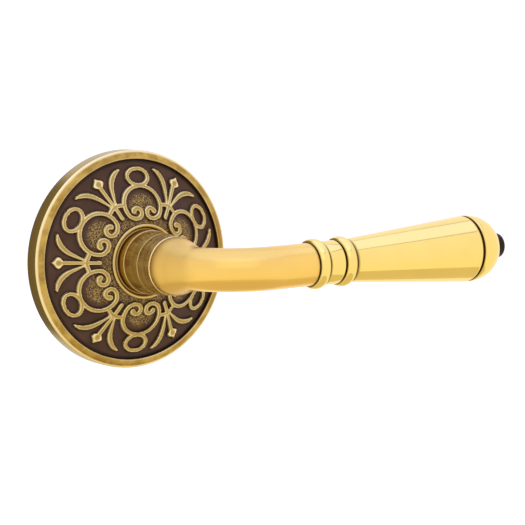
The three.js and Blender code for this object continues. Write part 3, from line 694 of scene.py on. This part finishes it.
def build_rose():
    grid = relief_grid()
    half = {key: values.reshape(FIELD_RINGS, COLUMNS + 1) for key, values in grid.items()}
    # one sector: a half, then its mirror image without the two shared columns
    sector = {key: np.concatenate([v, v[:, -2:0:-1]], 1) for key, v in half.items()}
    mirrored = 2 * HALF_SECTOR - half["angle"][:, -2:0:-1]
    sector["angle"] = np.concatenate([half["angle"], mirrored], 1)
    field = {key: np.tile(v, (1, SECTORS)) for key, v in sector.items()}
    turns = np.repeat(np.arange(SECTORS) * 2 * HALF_SECTOR, 2 * COLUMNS)
    # scroll axes stand at 30, 90, 150 degrees and on
    field["angle"] = field["angle"] + turns + math.pi / 6 + CLOCKING
    count = field["angle"].shape[1]
    plain_angles = field["angle"][0]
    rim, rest = rose_rings()
    rows = []
    for radius, height, *finish in rim:
        rows.append((np.full(count, radius), plain_angles, np.full(count, height), finish + [0, 0]))
    for i in range(FIELD_RINGS):
        finish = [field["raised"][i], field["edge"][i], 0, 0, field["ground"][i], field["hollow_patina_and_shade"][i]]
        rows.append((field["radius"][i], field["angle"][i], field["height"][i], finish))
    for radius, height, *finish in rest:
        rows.append((np.full(count, radius), plain_angles, np.full(count, height), finish + [0, 0]))
    vertices = np.concatenate([np.stack([r * np.cos(a), -h, r * np.sin(a)], 1) for r, a, h, _ in rows])
    attributes = {}
    for k, mark in enumerate(ROSE_MARKS):
        attributes[mark] = np.concatenate([np.broadcast_to(row[3][k], (count,)) for row in rows])
    near = np.arange(len(rows))[:, None] * count + np.arange(count)[None, :]
    far = np.roll(near, -1, axis=0)
    faces = np.stack([near, np.roll(near, -1, 1), np.roll(far, -1, 1), far], -1).reshape(-1, 4)
    return new_piece("cast_rose", vertices, faces.tolist(), attributes)


rose = build_rose()
dress(rose, "rose", "rosette", AGED_CAST_BRASS)

# %% [markdown]
# ## Punched ground
# Inside the C-scrolls and round the bead ring the field was matted with a fine punch, so that it glitters
# against the smooth brown. The grains repeat thousands of times over a curved surface, which is a task for
# Geometry Nodes: scatter points where the rose's ground attribute is high, and set a flat grain on each.

# %% Grains by Geometry Nodes
GRAIN_SIZE = 0.15 * MM
GRAIN_SPACING = 0.4 * MM
GRAIN_SEED = 7
GRAIN_FLATNESS = 0.55


def set_input(modifier, name, value):
    """Sets a modifier's named input by its identifier."""
    for item in modifier.node_group.interface.items_tree:
        if item.item_type == "SOCKET" and item.in_out == "INPUT" and item.name == name:
            modifier[item.identifier] = value
            return
    raise KeyError(name)


def new_tree(name, inputs):
    """A geometry tree with a geometry input and output and named inputs."""
    tree = bpy.data.node_groups.new(name, "GeometryNodeTree")
    tree.interface.new_socket("Geometry", in_out="INPUT", socket_type="NodeSocketGeometry")
    for label, kind in inputs.items():
        tree.interface.new_socket(label, in_out="INPUT", socket_type=kind)
    tree.interface.new_socket("Geometry", in_out="OUTPUT", socket_type="NodeSocketGeometry")
    return tree, add_node(tree, "NodeGroupInput")


def run_tree(name, tree, values, source=None):
    """Runs a geometry tree on a copy of a mesh and returns the result as a plain mesh object."""
    mesh = source.data.copy() if source else bpy.data.meshes.new(name)
    worker = bpy.data.objects.new(name + "_work", mesh)
    bpy.context.scene.collection.objects.link(worker)
    modifier = worker.modifiers.new("nodes", "NODES")
    modifier.node_group = tree
    for key, value in values.items():
        set_input(modifier, key, value)
    bpy.context.view_layer.update()
    evaluated = worker.evaluated_get(bpy.context.evaluated_depsgraph_get())
    result = bpy.data.meshes.new_from_object(evaluated)
    bpy.data.objects.remove(worker)
    piece = bpy.data.objects.new(name, result)
    bpy.context.scene.collection.objects.link(piece)
    return piece


def grain_tree(material):
    sizes = {"Spacing": "NodeSocketFloat", "Grain Radius": "NodeSocketFloat", "Seed": "NodeSocketInt"}
    tree, given = new_tree("punched_ground", sizes)
    ground = add_node(tree, "GeometryNodeInputNamedAttribute", {"Name": "ground"}, data_type="FLOAT")
    density = add_node(
        tree,
        "ShaderNodeMapRange",
        {"Value": ground.outputs["Attribute"], "From Min": 0.2, "From Max": 0.8},
    )
    scatter = add_node(
        tree,
        "GeometryNodeDistributePointsOnFaces",
        {
            "Mesh": given.outputs["Geometry"],
            "Distance Min": given.outputs["Spacing"],
            "Density Max": 1.0e7,
            "Density Factor": density.outputs["Result"],
            "Seed": given.outputs["Seed"],
        },
        distribute_method="POISSON",
    )
    grain = add_node(
        tree, "GeometryNodeMeshIcoSphere", {"Radius": given.outputs["Grain Radius"], "Subdivisions": 1}
    )
    place = add_node(
        tree,
        "GeometryNodeInstanceOnPoints",
        {
            "Points": scatter.outputs["Points"],
            "Instance": grain.outputs["Mesh"],
            "Rotation": scatter.outputs["Rotation"],
            "Scale": (1.0, 1.0, GRAIN_FLATNESS),
        },
    )
    real = add_node(tree, "GeometryNodeRealizeInstances", {"Geometry": place.outputs["Instances"]})
    coat = add_node(
        tree, "GeometryNodeSetMaterial", {"Geometry": real.outputs["Geometry"], "Material": material}
    )
    add_node(tree, "NodeGroupOutput", {"Geometry": coat.outputs["Geometry"]})
    return tree


def punched_brass():
    """Brass grains: their tops were rubbed gold and their feet stayed brown."""
    material, tree = new_material("punched_brass_rubbed")
    place = add_node(tree, "ShaderNodeTexCoord").outputs["Object"]
    patch = add_node(
        tree, "ShaderNodeTexNoise", {"Vector": place, "Scale": 1 / (1.1 * MM), "Detail": 4.0}
    ).outputs["Fac"]
    share = add_node(
        tree, "ShaderNodeMapRange", {"Value": patch, "From Min": 0.3, "From Max": 0.6}
    ).outputs["Result"]
    colour = add_node(
        tree,
        "ShaderNodeMix",
        {"Factor": share, 6: linear("#7E6236"), 7: linear("#D2B064")},
        data_type="RGBA",
    ).outputs[2]
    return finish_material(material, {"Base Color": colour, "Metallic": 0.9, "Roughness": 0.38})


PUNCHED_BRASS = punched_brass()
grains = run_tree(
    "punched_grains",
    grain_tree(PUNCHED_BRASS),
    {"Spacing": GRAIN_SPACING, "Grain Radius": GRAIN_SIZE, "Seed": GRAIN_SEED},
    rose,
)
for leftover in list(grains.data.attributes):
    if leftover.name in ROSE_MARKS:
        grains.data.attributes.remove(leftover)
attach(grains, "rose")
print("grain faces:", len(grains.data.polygons))

# %% [markdown]
# ## The neck
# The neck was turned on a lathe from the bore to the crisp ring where the elbow begins: a plain base
# band that ends in a fine step, a second turned line a little higher, and a slow taper between. The part
# inside the rose is its bearing, drawn as a plain round. The real one also has two flats for the cam
# and a groove for the circlip, which the rose hides.

# %% Neck
BAND_TOP, LINE_HEIGHT = 16.3, 23.2
NECK_TOP_RADIUS = 8.8
JOURNAL, SHOULDER = 8.0, 10.4
SPIGOT_RADIUS, SPIGOT_FOOT = 4.3, 23.6
FOOT_RADIUS, FOOT_TOP = 10.12, 12.5  # a low flange that nearly fills the rose's bore


def neck_taper(height):
    share = (height - BAND_TOP) / (NECK_TOP - BAND_TOP)
    return (NECK_RADIUS - 0.1) * (1 - share) + NECK_TOP_RADIUS * share


def build_neck():
    line = LINE_HEIGHT
    outline = [
        # radius, height, rounding, patina, painted highlight
        (JOURNAL - 0.5, NECK_TAIL, 0.3, 0, 0),
        (JOURNAL, NECK_TAIL + 0.5, 0.2, 0, 0),
        (JOURNAL, SHOULDER, 0, 0.4, 0),
        (FOOT_RADIUS, SHOULDER, 0.1, 1, 0),
        (FOOT_RADIUS, FOOT_TOP, 0.1, 0.35, 0),
        (NECK_RADIUS, FOOT_TOP + 0.1, 0.1, 0.6, 0),
        (NECK_RADIUS, FOOT_TOP + 1.3, 0, 0.15, 0),
        (NECK_RADIUS, BAND_TOP - 0.4, 0.12, 0, 0),
        (NECK_RADIUS + 0.03, BAND_TOP - 0.2, 0.1, 0, 0.5),
        (NECK_RADIUS - 0.2, BAND_TOP, 0.1, 0.4, 0),
        (neck_taper(BAND_TOP + 0.3), BAND_TOP + 0.25, 0.1, 0, 0),
        (neck_taper(line - 0.3), line - 0.3, 0.08, 0, 0.3),
        (neck_taper(line) - 0.12, line, 0.05, 0.4, 0),
        (neck_taper(line + 0.3), line + 0.3, 0.08, 0, 0.15),
        (neck_taper(line + 2.0), line + 2.0, 0, 0, 0.25),
        (neck_taper(NECK_TOP - 0.9), NECK_TOP - 0.9, 0, 0, 0.5),
        (NECK_TOP_RADIUS + 0.08, NECK_TOP - 0.3, 0.25, 0, 1),
        (NECK_TOP_RADIUS - 0.05, NECK_TOP - 0.08, 0.15, 0, 1),
        (NECK_TOP_RADIUS - 0.35, NECK_TOP, 0, 1, 0),
        (SPIGOT_RADIUS, NECK_TOP, 0, 1, 0),
        (SPIGOT_RADIUS, SPIGOT_FOOT, 0, 0, 0),
        (SPIGOT_RADIUS, NECK_TAIL, 0, 0, 0),
    ]
    points = [[height, radius, patina_and_shade, painted_highlight] for radius, height, _, patina_and_shade, painted_highlight in outline]
    return turned("turned_neck", rounded(points, [row[2] for row in outline]), SPINDLE)


neck = build_neck()
dress(neck, "lever", "lever_neck", TURNED_BRASS)

# %% [markdown]
# ## Elbow and arm
# The elbow is a domed shoulder that flows into a quarter bend and a straight arm. Its shape follows a
# rule, a circle of changing radius swept along a line, so Geometry Nodes make it: the line is built point
# by point from its length, each point gets a radius, and Curve to Mesh does the sweep.

# %% Elbow and arm by Geometry Nodes
ELBOW_RADIUS = 19.0
SHOULDER_RISE = 11.0
ARM_POINTS = 150


def arm_tree(material):
    sizes = {
        "Foot": "NodeSocketFloat",
        "Height": "NodeSocketFloat",
        "Bend": "NodeSocketFloat",
        "End": "NodeSocketFloat",
        "Foot Radius": "NodeSocketFloat",
        "Arm Radius": "NodeSocketFloat",
        "Shoulder": "NodeSocketFloat",
    }
    tree, given = new_tree("swept_elbow", sizes)

    def calc(operation, a, b=0.0, c=0.0, clamp=False):
        node = add_node(tree, "ShaderNodeMath", {0: a, 1: b, 2: c}, operation=operation, use_clamp=clamp)
        return node.outputs["Value"]

    size = given.outputs
    rise = calc("SUBTRACT", calc("SUBTRACT", size["Height"], size["Bend"]), size["Foot"])
    bend = calc("MULTIPLY", size["Bend"], math.pi / 2)
    run = calc("SUBTRACT", size["End"], size["Bend"])
    total = calc("ADD", calc("ADD", rise, bend), run)
    line = add_node(tree, "GeometryNodeCurvePrimitiveLine", {"Start": (0, 0, 0), "End": (0, 0, 1)})
    points = add_node(
        tree, "GeometryNodeResampleCurve", {"Curve": line.outputs["Curve"], "Count": ARM_POINTS}, mode="COUNT"
    )
    share = add_node(tree, "GeometryNodeSplineParameter").outputs["Factor"]
    along = calc("MULTIPLY", share, total)
    on_rise = calc("MINIMUM", along, rise)
    past_rise = calc("MAXIMUM", calc("SUBTRACT", along, rise), 0.0)
    on_bend = calc("DIVIDE", calc("MINIMUM", past_rise, bend), size["Bend"])
    on_run = calc("MAXIMUM", calc("SUBTRACT", calc("SUBTRACT", along, rise), bend), 0.0)
    x = calc("ADD", calc("MULTIPLY", size["Bend"], calc("SUBTRACT", 1.0, calc("COSINE", on_bend))), on_run)
    outwards = calc("MULTIPLY", size["Bend"], calc("SINE", on_bend))
    out = calc("ADD", calc("ADD", size["Foot"], on_rise), outwards)
    place = add_node(tree, "ShaderNodeCombineXYZ", {"X": x, "Y": calc("MULTIPLY", out, -1.0), "Z": 0.0})
    bent = add_node(
        tree,
        "GeometryNodeSetPosition",
        {"Geometry": points.outputs["Curve"], "Position": place.outputs["Vector"]},
    )
    # the shoulder follows half a wave, so that it leaves the neck and meets the arm without a corner
    up_shoulder = calc("MINIMUM", calc("DIVIDE", along, size["Shoulder"]), 1.0)
    wave = calc("COSINE", calc("MULTIPLY", up_shoulder, math.pi))
    round_off = calc("ADD", calc("MULTIPLY", wave, 0.5), 0.5)
    swell = calc("MULTIPLY", calc("SUBTRACT", size["Foot Radius"], size["Arm Radius"]), round_off)
    radius = calc("ADD", size["Arm Radius"], swell)
    section = add_node(tree, "GeometryNodeCurvePrimitiveCircle", {"Resolution": 128, "Radius": 1.0})
    sweep = add_node(
        tree,
        "GeometryNodeCurveToMesh",
        {
            "Curve": bent.outputs["Geometry"],
            "Profile Curve": section.outputs["Curve"],
            "Scale": radius,
            "Fill Caps": True,
        },
    )
    real = add_node(tree, "GeometryNodeRealizeInstances", {"Geometry": sweep.outputs["Mesh"]})
    coat = add_node(
        tree, "GeometryNodeSetMaterial", {"Geometry": real.outputs["Geometry"], "Material": material}
    )
    add_node(tree, "NodeGroupOutput", {"Geometry": coat.outputs["Geometry"]})
    return tree


arm = run_tree(
    "swept_arm",
    arm_tree(SATIN_BRASS),
    {
        "Foot": (NECK_TOP + 0.12) * MM,
        "Height": ARM_HEIGHT * MM,
        "Bend": ELBOW_RADIUS * MM,
        "End": ARM_END * MM,
        "Foot Radius": (NECK_TOP_RADIUS - 0.05) * MM,
        "Arm Radius": ARM_RADIUS * MM,
        "Shoulder": SHOULDER_RISE * MM,
    },
)
print("arm box:", [round(c / MM, 2) for c in arm.dimensions])

# %% Patina and painted shade of the elbow
ACROSS_BEND = (0.83, 0.56)  # a direction between the arm's and the neck's, on which the painted shade fades
ELBOW_PAINTED_SHADE, UPPER_PAINTED_SHADE, ARM_PAINTED_SHADE = 0.2, 0.14, 0.16  # shares of the brown painted shade laid on the gold
BEND_FADE, ARM_FADE = (17.5, 24.5), (10, 32)  # where they fade out, across the bend and along the arm


def shade_arm(piece):
    """Marks the patina in the two end seams and the painted shade of the elbow and arm, and closes the
    normals.
    """
    places = np.array([v.co for v in piece.data.vertices]) / MM
    foot = np.exp(-np.clip(-places[:, 1] - NECK_TOP, 0, None) / 0.12) * (places[:, 0] < 10)
    end = np.exp(-np.clip(ARM_END - places[:, 0], 0, None) / 0.25)
    values = np.maximum(foot, end).astype(np.float32)
    piece.data.attributes.new("patina_and_shade", "FLOAT", "POINT").data.foreach_set("value", values)
    # painted shade: a brown where the elbow would mirror the dark rose, up to the middle of the bend and most
    # on its upper side, and on the upper side of the arm's start
    across_bend = ACROSS_BEND[0] * places[:, 0] - ACROSS_BEND[1] * places[:, 1]
    upper = smooth_step(-2, 6, places[:, 2])
    painted_shade = (ELBOW_PAINTED_SHADE + UPPER_PAINTED_SHADE * upper) * (1 - smooth_step(*BEND_FADE, across_bend))
    painted_shade = np.maximum(painted_shade, ARM_PAINTED_SHADE * upper * (1 - smooth_step(*ARM_FADE, places[:, 0])))
    painted_shade = painted_shade.astype(np.float32)
    piece.data.attributes.new("painted_shade", "FLOAT", "POINT").data.foreach_set("value", painted_shade)
    tidy_normals(piece, 50)


shade_arm(arm)
dress(arm, "lever", "lever_arm", SATIN_BRASS)

# %% [markdown]
# ## Beads, band, grip, cap and button
# These were turned one by one and drawn together on the tie rod. Each has its own outline, and the
# seams between them hold the dark patina, so the points at the seams carry a patina of 1.

# %% Turned pieces on the tie rod
ROD_BORE = 2.3
SEAT = 6.1


def on_rod(name, node, outline, rounds, material):
    """Closes an outline on the rod's bore and turns it round the arm."""
    start, end = outline[0][0], outline[-1][0]
    closed = [[start, ROD_BORE, 1]] + outline + [[end, ROD_BORE, 1]]
    piece = turned(name, rounded(closed, [0] + rounds + [0]), ARM)
    dress(piece, "lever", node, material)
    return piece


def bead_outline(node):
    low, high = box_mm(node)
    middle, half, top = (low.x + high.x) / 2, (high.x - low.x) / 2, high.z
    outline = []
    for degrees in range(0, 181, 9):
        angle = math.radians(degrees)
        reach = (top - SEAT) * math.sin(angle) ** 0.8
        # patina in both seams, and on the grip's side a wider brown that is a painted dark reflection
        if degrees < 90:
            patina_and_shade = 0.8 * float(smooth_step(0.5, 0.15, math.sin(angle)))
        else:
            patina_and_shade = 0.95 * float(smooth_step(0.9, 0.62, math.sin(angle)))
        outline.append([middle - half * math.cos(angle), SEAT + reach, patina_and_shade])
    return outline


for name, node in (("bead_by_the_arm", "front_bead"), ("bead_by_the_grip", "rear_bead")):
    outline = bead_outline(node)
    on_rod(name, node, outline, [0] * len(outline), POLISHED_BRASS)

band_low, band_high = box_mm("waist_band")
BAND = [
    [band_low.x, band_high.z - 0.3, 1],
    [band_low.x + 0.35, band_high.z - 0.02, 0],
    [band_high.x - 0.35, band_high.z - 0.02, 0],
    [band_high.x, band_high.z - 0.3, 1],
]
on_rod("plain_band", "waist_band", BAND, [0.05, 0.15, 0.15, 0.05], POLISHED_BRASS)

# %% Grip
GRIP_START_RADIUS = 6.5
GRIP_END_RADIUS = grip_high.z
GRIP = [
    [grip_low.x, GRIP_START_RADIUS - 0.35, 1],
    [grip_low.x + 0.3, GRIP_START_RADIUS - 0.05, 0.7],
    [grip_low.x + 0.8, GRIP_START_RADIUS + 0.05, 0],
    [grip_high.x - 0.6, GRIP_END_RADIUS, 0],
    [grip_high.x - 0.15, GRIP_END_RADIUS - 0.12, 0.2],
    [grip_high.x, GRIP_END_RADIUS - 0.5, 1],
]
on_rod("flared_grip", "grip", GRIP, [0, 0.1, 0.3, 0.3, 0.1, 0], POLISHED_BRASS)

# %% Cap
cap_low, cap_high = box_mm("end_cap")
CAP_SEAT = (9.8, 0.6)  # radius and length of the groove's floor, beside the grip
CAP_CYLINDER = 0.9
DOME_LENGTH, DOME_CUT = 10.3, math.radians(60)
CAP_COLLAR = 4.65


def cap_outline():
    start, radius = cap_low.x, cap_high.z
    edge = start + CAP_SEAT[1]
    centre = edge + CAP_CYLINDER
    outline = [[start, CAP_SEAT[0], 1], [edge - 0.02, CAP_SEAT[0], 1], [edge, radius - 0.25, 0.8]]
    outline += [[edge + 0.12, radius - 0.06, 0.2], [edge + 0.35, radius, 0]]
    for angle in np.linspace(0, DOME_CUT, 26):
        # painted shade: the dome darkens towards its cut, laid in with the seams' brown
        shade = 0.4 * float(smooth_step(0.72 * DOME_CUT, DOME_CUT, angle))
        outline.append([centre + DOME_LENGTH * math.sin(angle), radius * math.cos(angle), shade])
    end = outline[-1][0]
    tip = outline[-1][1]
    outline += [[end + 0.08, tip - 0.2, 0.2], [end + 0.06, CAP_COLLAR + 0.05, 0.9]]
    outline += [[end + 0.14, CAP_COLLAR, 0], [cap_high.x - 0.1, CAP_COLLAR, 0]]
    return outline + [[cap_high.x, CAP_COLLAR - 0.12, 0.3]]


outline = cap_outline()
on_rod("domed_cap", "end_cap", outline, [0] * len(outline), POLISHED_BRASS)

# %% Button


def dark_brass():
    """Brass left in its full patina and darkened further as painted shade: near black, with a low sheen."""
    material, tree = new_material("patinated_brass_with_painted_shade")
    place = add_node(tree, "ShaderNodeTexCoord").outputs["Object"]
    cloud = add_node(
        tree, "ShaderNodeTexNoise", {"Vector": place, "Scale": 1 / (1.5 * MM), "Detail": 5.0}
    ).outputs["Fac"]
    colour = add_node(
        tree,
        "ShaderNodeMix",
        {"Factor": cloud, 6: linear("#1C1408"), 7: linear("#3E3016")},
        data_type="RGBA",
    ).outputs[2]
    return finish_material(
        material,
        {"Base Color": colour, "Metallic": 0.85, "Roughness": 0.36},
        cloud,
        0.02 * MM,
    )


DARK_BRASS = dark_brass()
button_low, button_high = box_mm("end_button")
BUTTON = [
    [button_low.x + 1.7, 0, 0],
    [button_low.x + 1.7, ROD_BORE, 0],
    [button_low.x, ROD_BORE, 0],
    [button_low.x, button_high.z, 0],
    [button_high.x - 0.5, button_high.z, 0],
    [button_high.x - 0.12, button_high.z - 0.4, 0],
    [button_high.x, 1.4, 0],
    [button_high.x, 0, 0],
]
button = turned("end_button_turned", rounded(BUTTON, [0, 0, 0, 0.2, 0.6, 0.5, 0.6, 0]), ARM, 96)
dress(button, "lever", "end_button", DARK_BRASS)

# %% [markdown]
# ## Finishes of the working parts
# The parts behind the rose are bought-in steel, die-cast zinc and nylon. They keep their CAD shapes and
# get their finishes here: zinc plate has a faint spangle, castings a grain, springs a blue-grey skin.

# %% Steel, zinc and nylon


def plain_finish(name, dark, light, grain_mm, metallic, roughness, bump_mm):
    """A finish that varies between two colours over grains of a real size."""
    material, tree = new_material(name)
    place = add_node(tree, "ShaderNodeTexCoord").outputs["Object"]
    grain = add_node(
        tree, "ShaderNodeTexNoise", {"Vector": place, "Scale": 1 / (grain_mm * MM), "Detail": 4.0}
    ).outputs["Fac"]
    colour = add_node(
        tree, "ShaderNodeMix", {"Factor": grain, 6: linear(dark), 7: linear(light)}, data_type="RGBA"
    ).outputs[2]
    rough = add_node(
        tree, "ShaderNodeMapRange", {"Value": grain, "To Min": roughness - 0.08, "To Max": roughness + 0.08}
    ).outputs["Result"]
    return finish_material(
        material,
        {"Base Color": colour, "Metallic": metallic, "Roughness": rough},
        grain,
        bump_mm * MM,
    )


WORKING_FINISHES = {
    "zinc_plated_steel": plain_finish("steel_zinc_plated", "#9DA2A8", "#D6DADE", 2.2, 1.0, 0.3, 0.004),
    "cast_zinc": plain_finish("zinc_die_cast", "#7E8287", "#A4A7AB", 0.6, 0.9, 0.5, 0.02),
    "spring_steel": plain_finish("spring_steel_oil_hardened", "#4A4F57", "#71767D", 0.8, 1.0, 0.32, 0.006),
    "black_screw_steel": plain_finish("steel_blackened", "#17171A", "#2E2E33", 0.5, 0.8, 0.42, 0.01),
    "nylon": plain_finish("nylon_moulded", "#DDD8C8", "#EDE9DC", 1.0, 0.0, 0.5, 0.01),
}
node_slots = {part["node"]: part["material_slot"] for part in frame["record"]["subparts"]}
for node, cad_object in frame["nodes"].items():
    if cad_object.hide_render:
        continue
    finish = WORKING_FINISHES[node_slots[node]]
    cad_object.data.materials.clear()
    cad_object.data.materials.append(finish)
print("finishes on CAD nodes:", sum(not o.hide_render for o in frame["nodes"].values()))

# %% [markdown]
# ## Floor and light
# The setting is a white studio: a pale floor well below the handle, a bright room all round, and one weak
# soft panel. Polished metal shows the room more than the lamps, so the room has three zones that the grip
# mirrors as three bands: a white ceiling, warm white walls and a dimmer, warmer ground. A dim screen at
# the left behind the rose gives the rose's wall and the neck's left side their darker tone.

# %% Floor
FLOOR_HEIGHT = -0.16
FLOOR_SIZE = 60.0


def pale_floor():
    mesh = bpy.data.meshes.new("floor")
    corners = [(-1, -1), (1, -1), (1, 1), (-1, 1)]
    places = [(x * FLOOR_SIZE, y * FLOOR_SIZE, FLOOR_HEIGHT) for x, y in corners]
    mesh.from_pydata(places, [], [(0, 1, 2, 3)])
    floor = bpy.data.objects.new("floor", mesh)
    bpy.context.scene.collection.objects.link(floor)
    material, tree = new_material("white_paper_floor")
    place = add_node(tree, "ShaderNodeTexCoord").outputs["Object"]
    fibre = add_node(
        tree, "ShaderNodeTexNoise", {"Vector": place, "Scale": 1 / (40 * MM), "Detail": 3.0}
    ).outputs["Fac"]
    colour = add_node(
        tree,
        "ShaderNodeMix",
        {"Factor": fibre, 6: linear("#FAFAFA"), 7: linear("#FFFFFF")},
        data_type="RGBA",
    ).outputs[2]
    finish_material(material, {"Base Color": colour, "Roughness": 0.9})
    mesh.materials.append(material)
    floor.visible_glossy = False


pale_floor()

# %% Room
ROOM_STRENGTH = 1.85


def studio_room():
    world = bpy.data.worlds.new("studio")
    bpy.context.scene.world = world
    world.use_nodes = True
    tree = world.node_tree
    tree.nodes.clear()
    direction = add_node(tree, "ShaderNodeTexCoord")
    parts = add_node(tree, "ShaderNodeSeparateXYZ", {"Vector": direction.outputs["Generated"]})
    height = add_node(
        tree,
        "ShaderNodeMapRange",
        {"Value": parts.outputs["Z"], "From Min": -1.0, "From Max": 1.0},
    )
    zones = add_node(tree, "ShaderNodeValToRGB", {"Fac": height.outputs["Result"]})
    ramp = zones.color_ramp
    bands = [
        (0.0, "#ABA08B"),
        (0.130, "#AFA488"),
        (0.136, "#C6C1B1"),
        (0.5, "#C6C3C2"),
        (0.866, "#C6C5D2"),
        (0.873, "#77726A"),
        (0.880, "#C8D0FC"),
        (1.0, "#CCD3FC"),
    ]
    while len(ramp.elements) < len(bands):
        ramp.elements.new(0.5)
    for element, (position, colour) in zip(ramp.elements, bands):
        element.position = position
        element.color = linear(colour)
    behind = add_node(
        tree,
        "ShaderNodeMapRange",
        {"Value": parts.outputs["Y"], "From Min": 0.5, "From Max": 0.78},
        interpolation_type="SMOOTHSTEP",
    )
    # the screen stands to the left, so that only the sides turned that way mirror it
    steep = add_node(tree, "ShaderNodeMath", {0: parts.outputs["Z"]}, operation="ABSOLUTE")
    reach = add_node(
        tree, "ShaderNodeMath", {0: steep.outputs["Value"], 1: parts.outputs["X"]}, operation="ADD"
    )
    near_level = add_node(
        tree,
        "ShaderNodeMapRange",
        {"Value": reach.outputs["Value"], "From Min": 0.62, "From Max": 0.4},
        interpolation_type="SMOOTHSTEP",
    )
    screen = add_node(
        tree,
        "ShaderNodeMath",
        {0: behind.outputs["Result"], 1: near_level.outputs["Result"]},
        operation="MULTIPLY",
    )
    walls = add_node(
        tree,
        "ShaderNodeMix",
        {"Factor": screen.outputs["Value"], 6: zones.outputs["Color"], 7: linear("#6E624A")},
        data_type="RGBA",
    )
    room = add_node(tree, "ShaderNodeBackground", {"Color": walls.outputs[2], "Strength": ROOM_STRENGTH})
    white = add_node(tree, "ShaderNodeBackground", {"Color": linear("#FFFFFF"), "Strength": 1.0})
    ray = add_node(tree, "ShaderNodeLightPath")
    both = add_node(
        tree,
        "ShaderNodeMixShader",
        {0: ray.outputs["Is Camera Ray"], 1: room.outputs["Background"], 2: white.outputs["Background"]},
    )
    add_node(tree, "ShaderNodeOutputWorld", {"Surface": both.outputs["Shader"]})


studio_room()

# %% Panels


def panel(name, place, aim, size, power, colour="#FFFFFF"):
    """A soft square lamp that faces a point and isn't seen itself."""
    light = bpy.data.lights.new(name, "AREA")
    light.size = size
    light.energy = power
    light.color = linear(colour)[:3]
    lamp = bpy.data.objects.new(name, light)
    lamp.location = place
    lamp.rotation_mode = "QUATERNION"
    lamp.rotation_quaternion = (Vector(place) - Vector(aim)).to_track_quat("Z", "Y")
    lamp.visible_camera = False
    bpy.context.scene.collection.objects.link(lamp)


MIDDLE = (0.04, -0.03, 0.0)
panel("key_panel", (-0.5, -0.8, 0.9), MIDDLE, 1.2, 0.8)


def sky(strength):
    """Even light from above that whitens the floor and makes no highlight."""
    light = bpy.data.lights.new("sky", "SUN")
    light.energy = strength
    light.angle = math.radians(120)
    lamp = bpy.data.objects.new("sky", light)
    lamp.visible_glossy = False
    bpy.context.scene.collection.objects.link(lamp)


sky(0.4)

# %% Colour handling: the plain transform keeps brass as saturated as it is
bpy.context.scene.view_settings.view_transform = "Standard"

# %% Bring the scene up to date
bpy.context.view_layer.update()
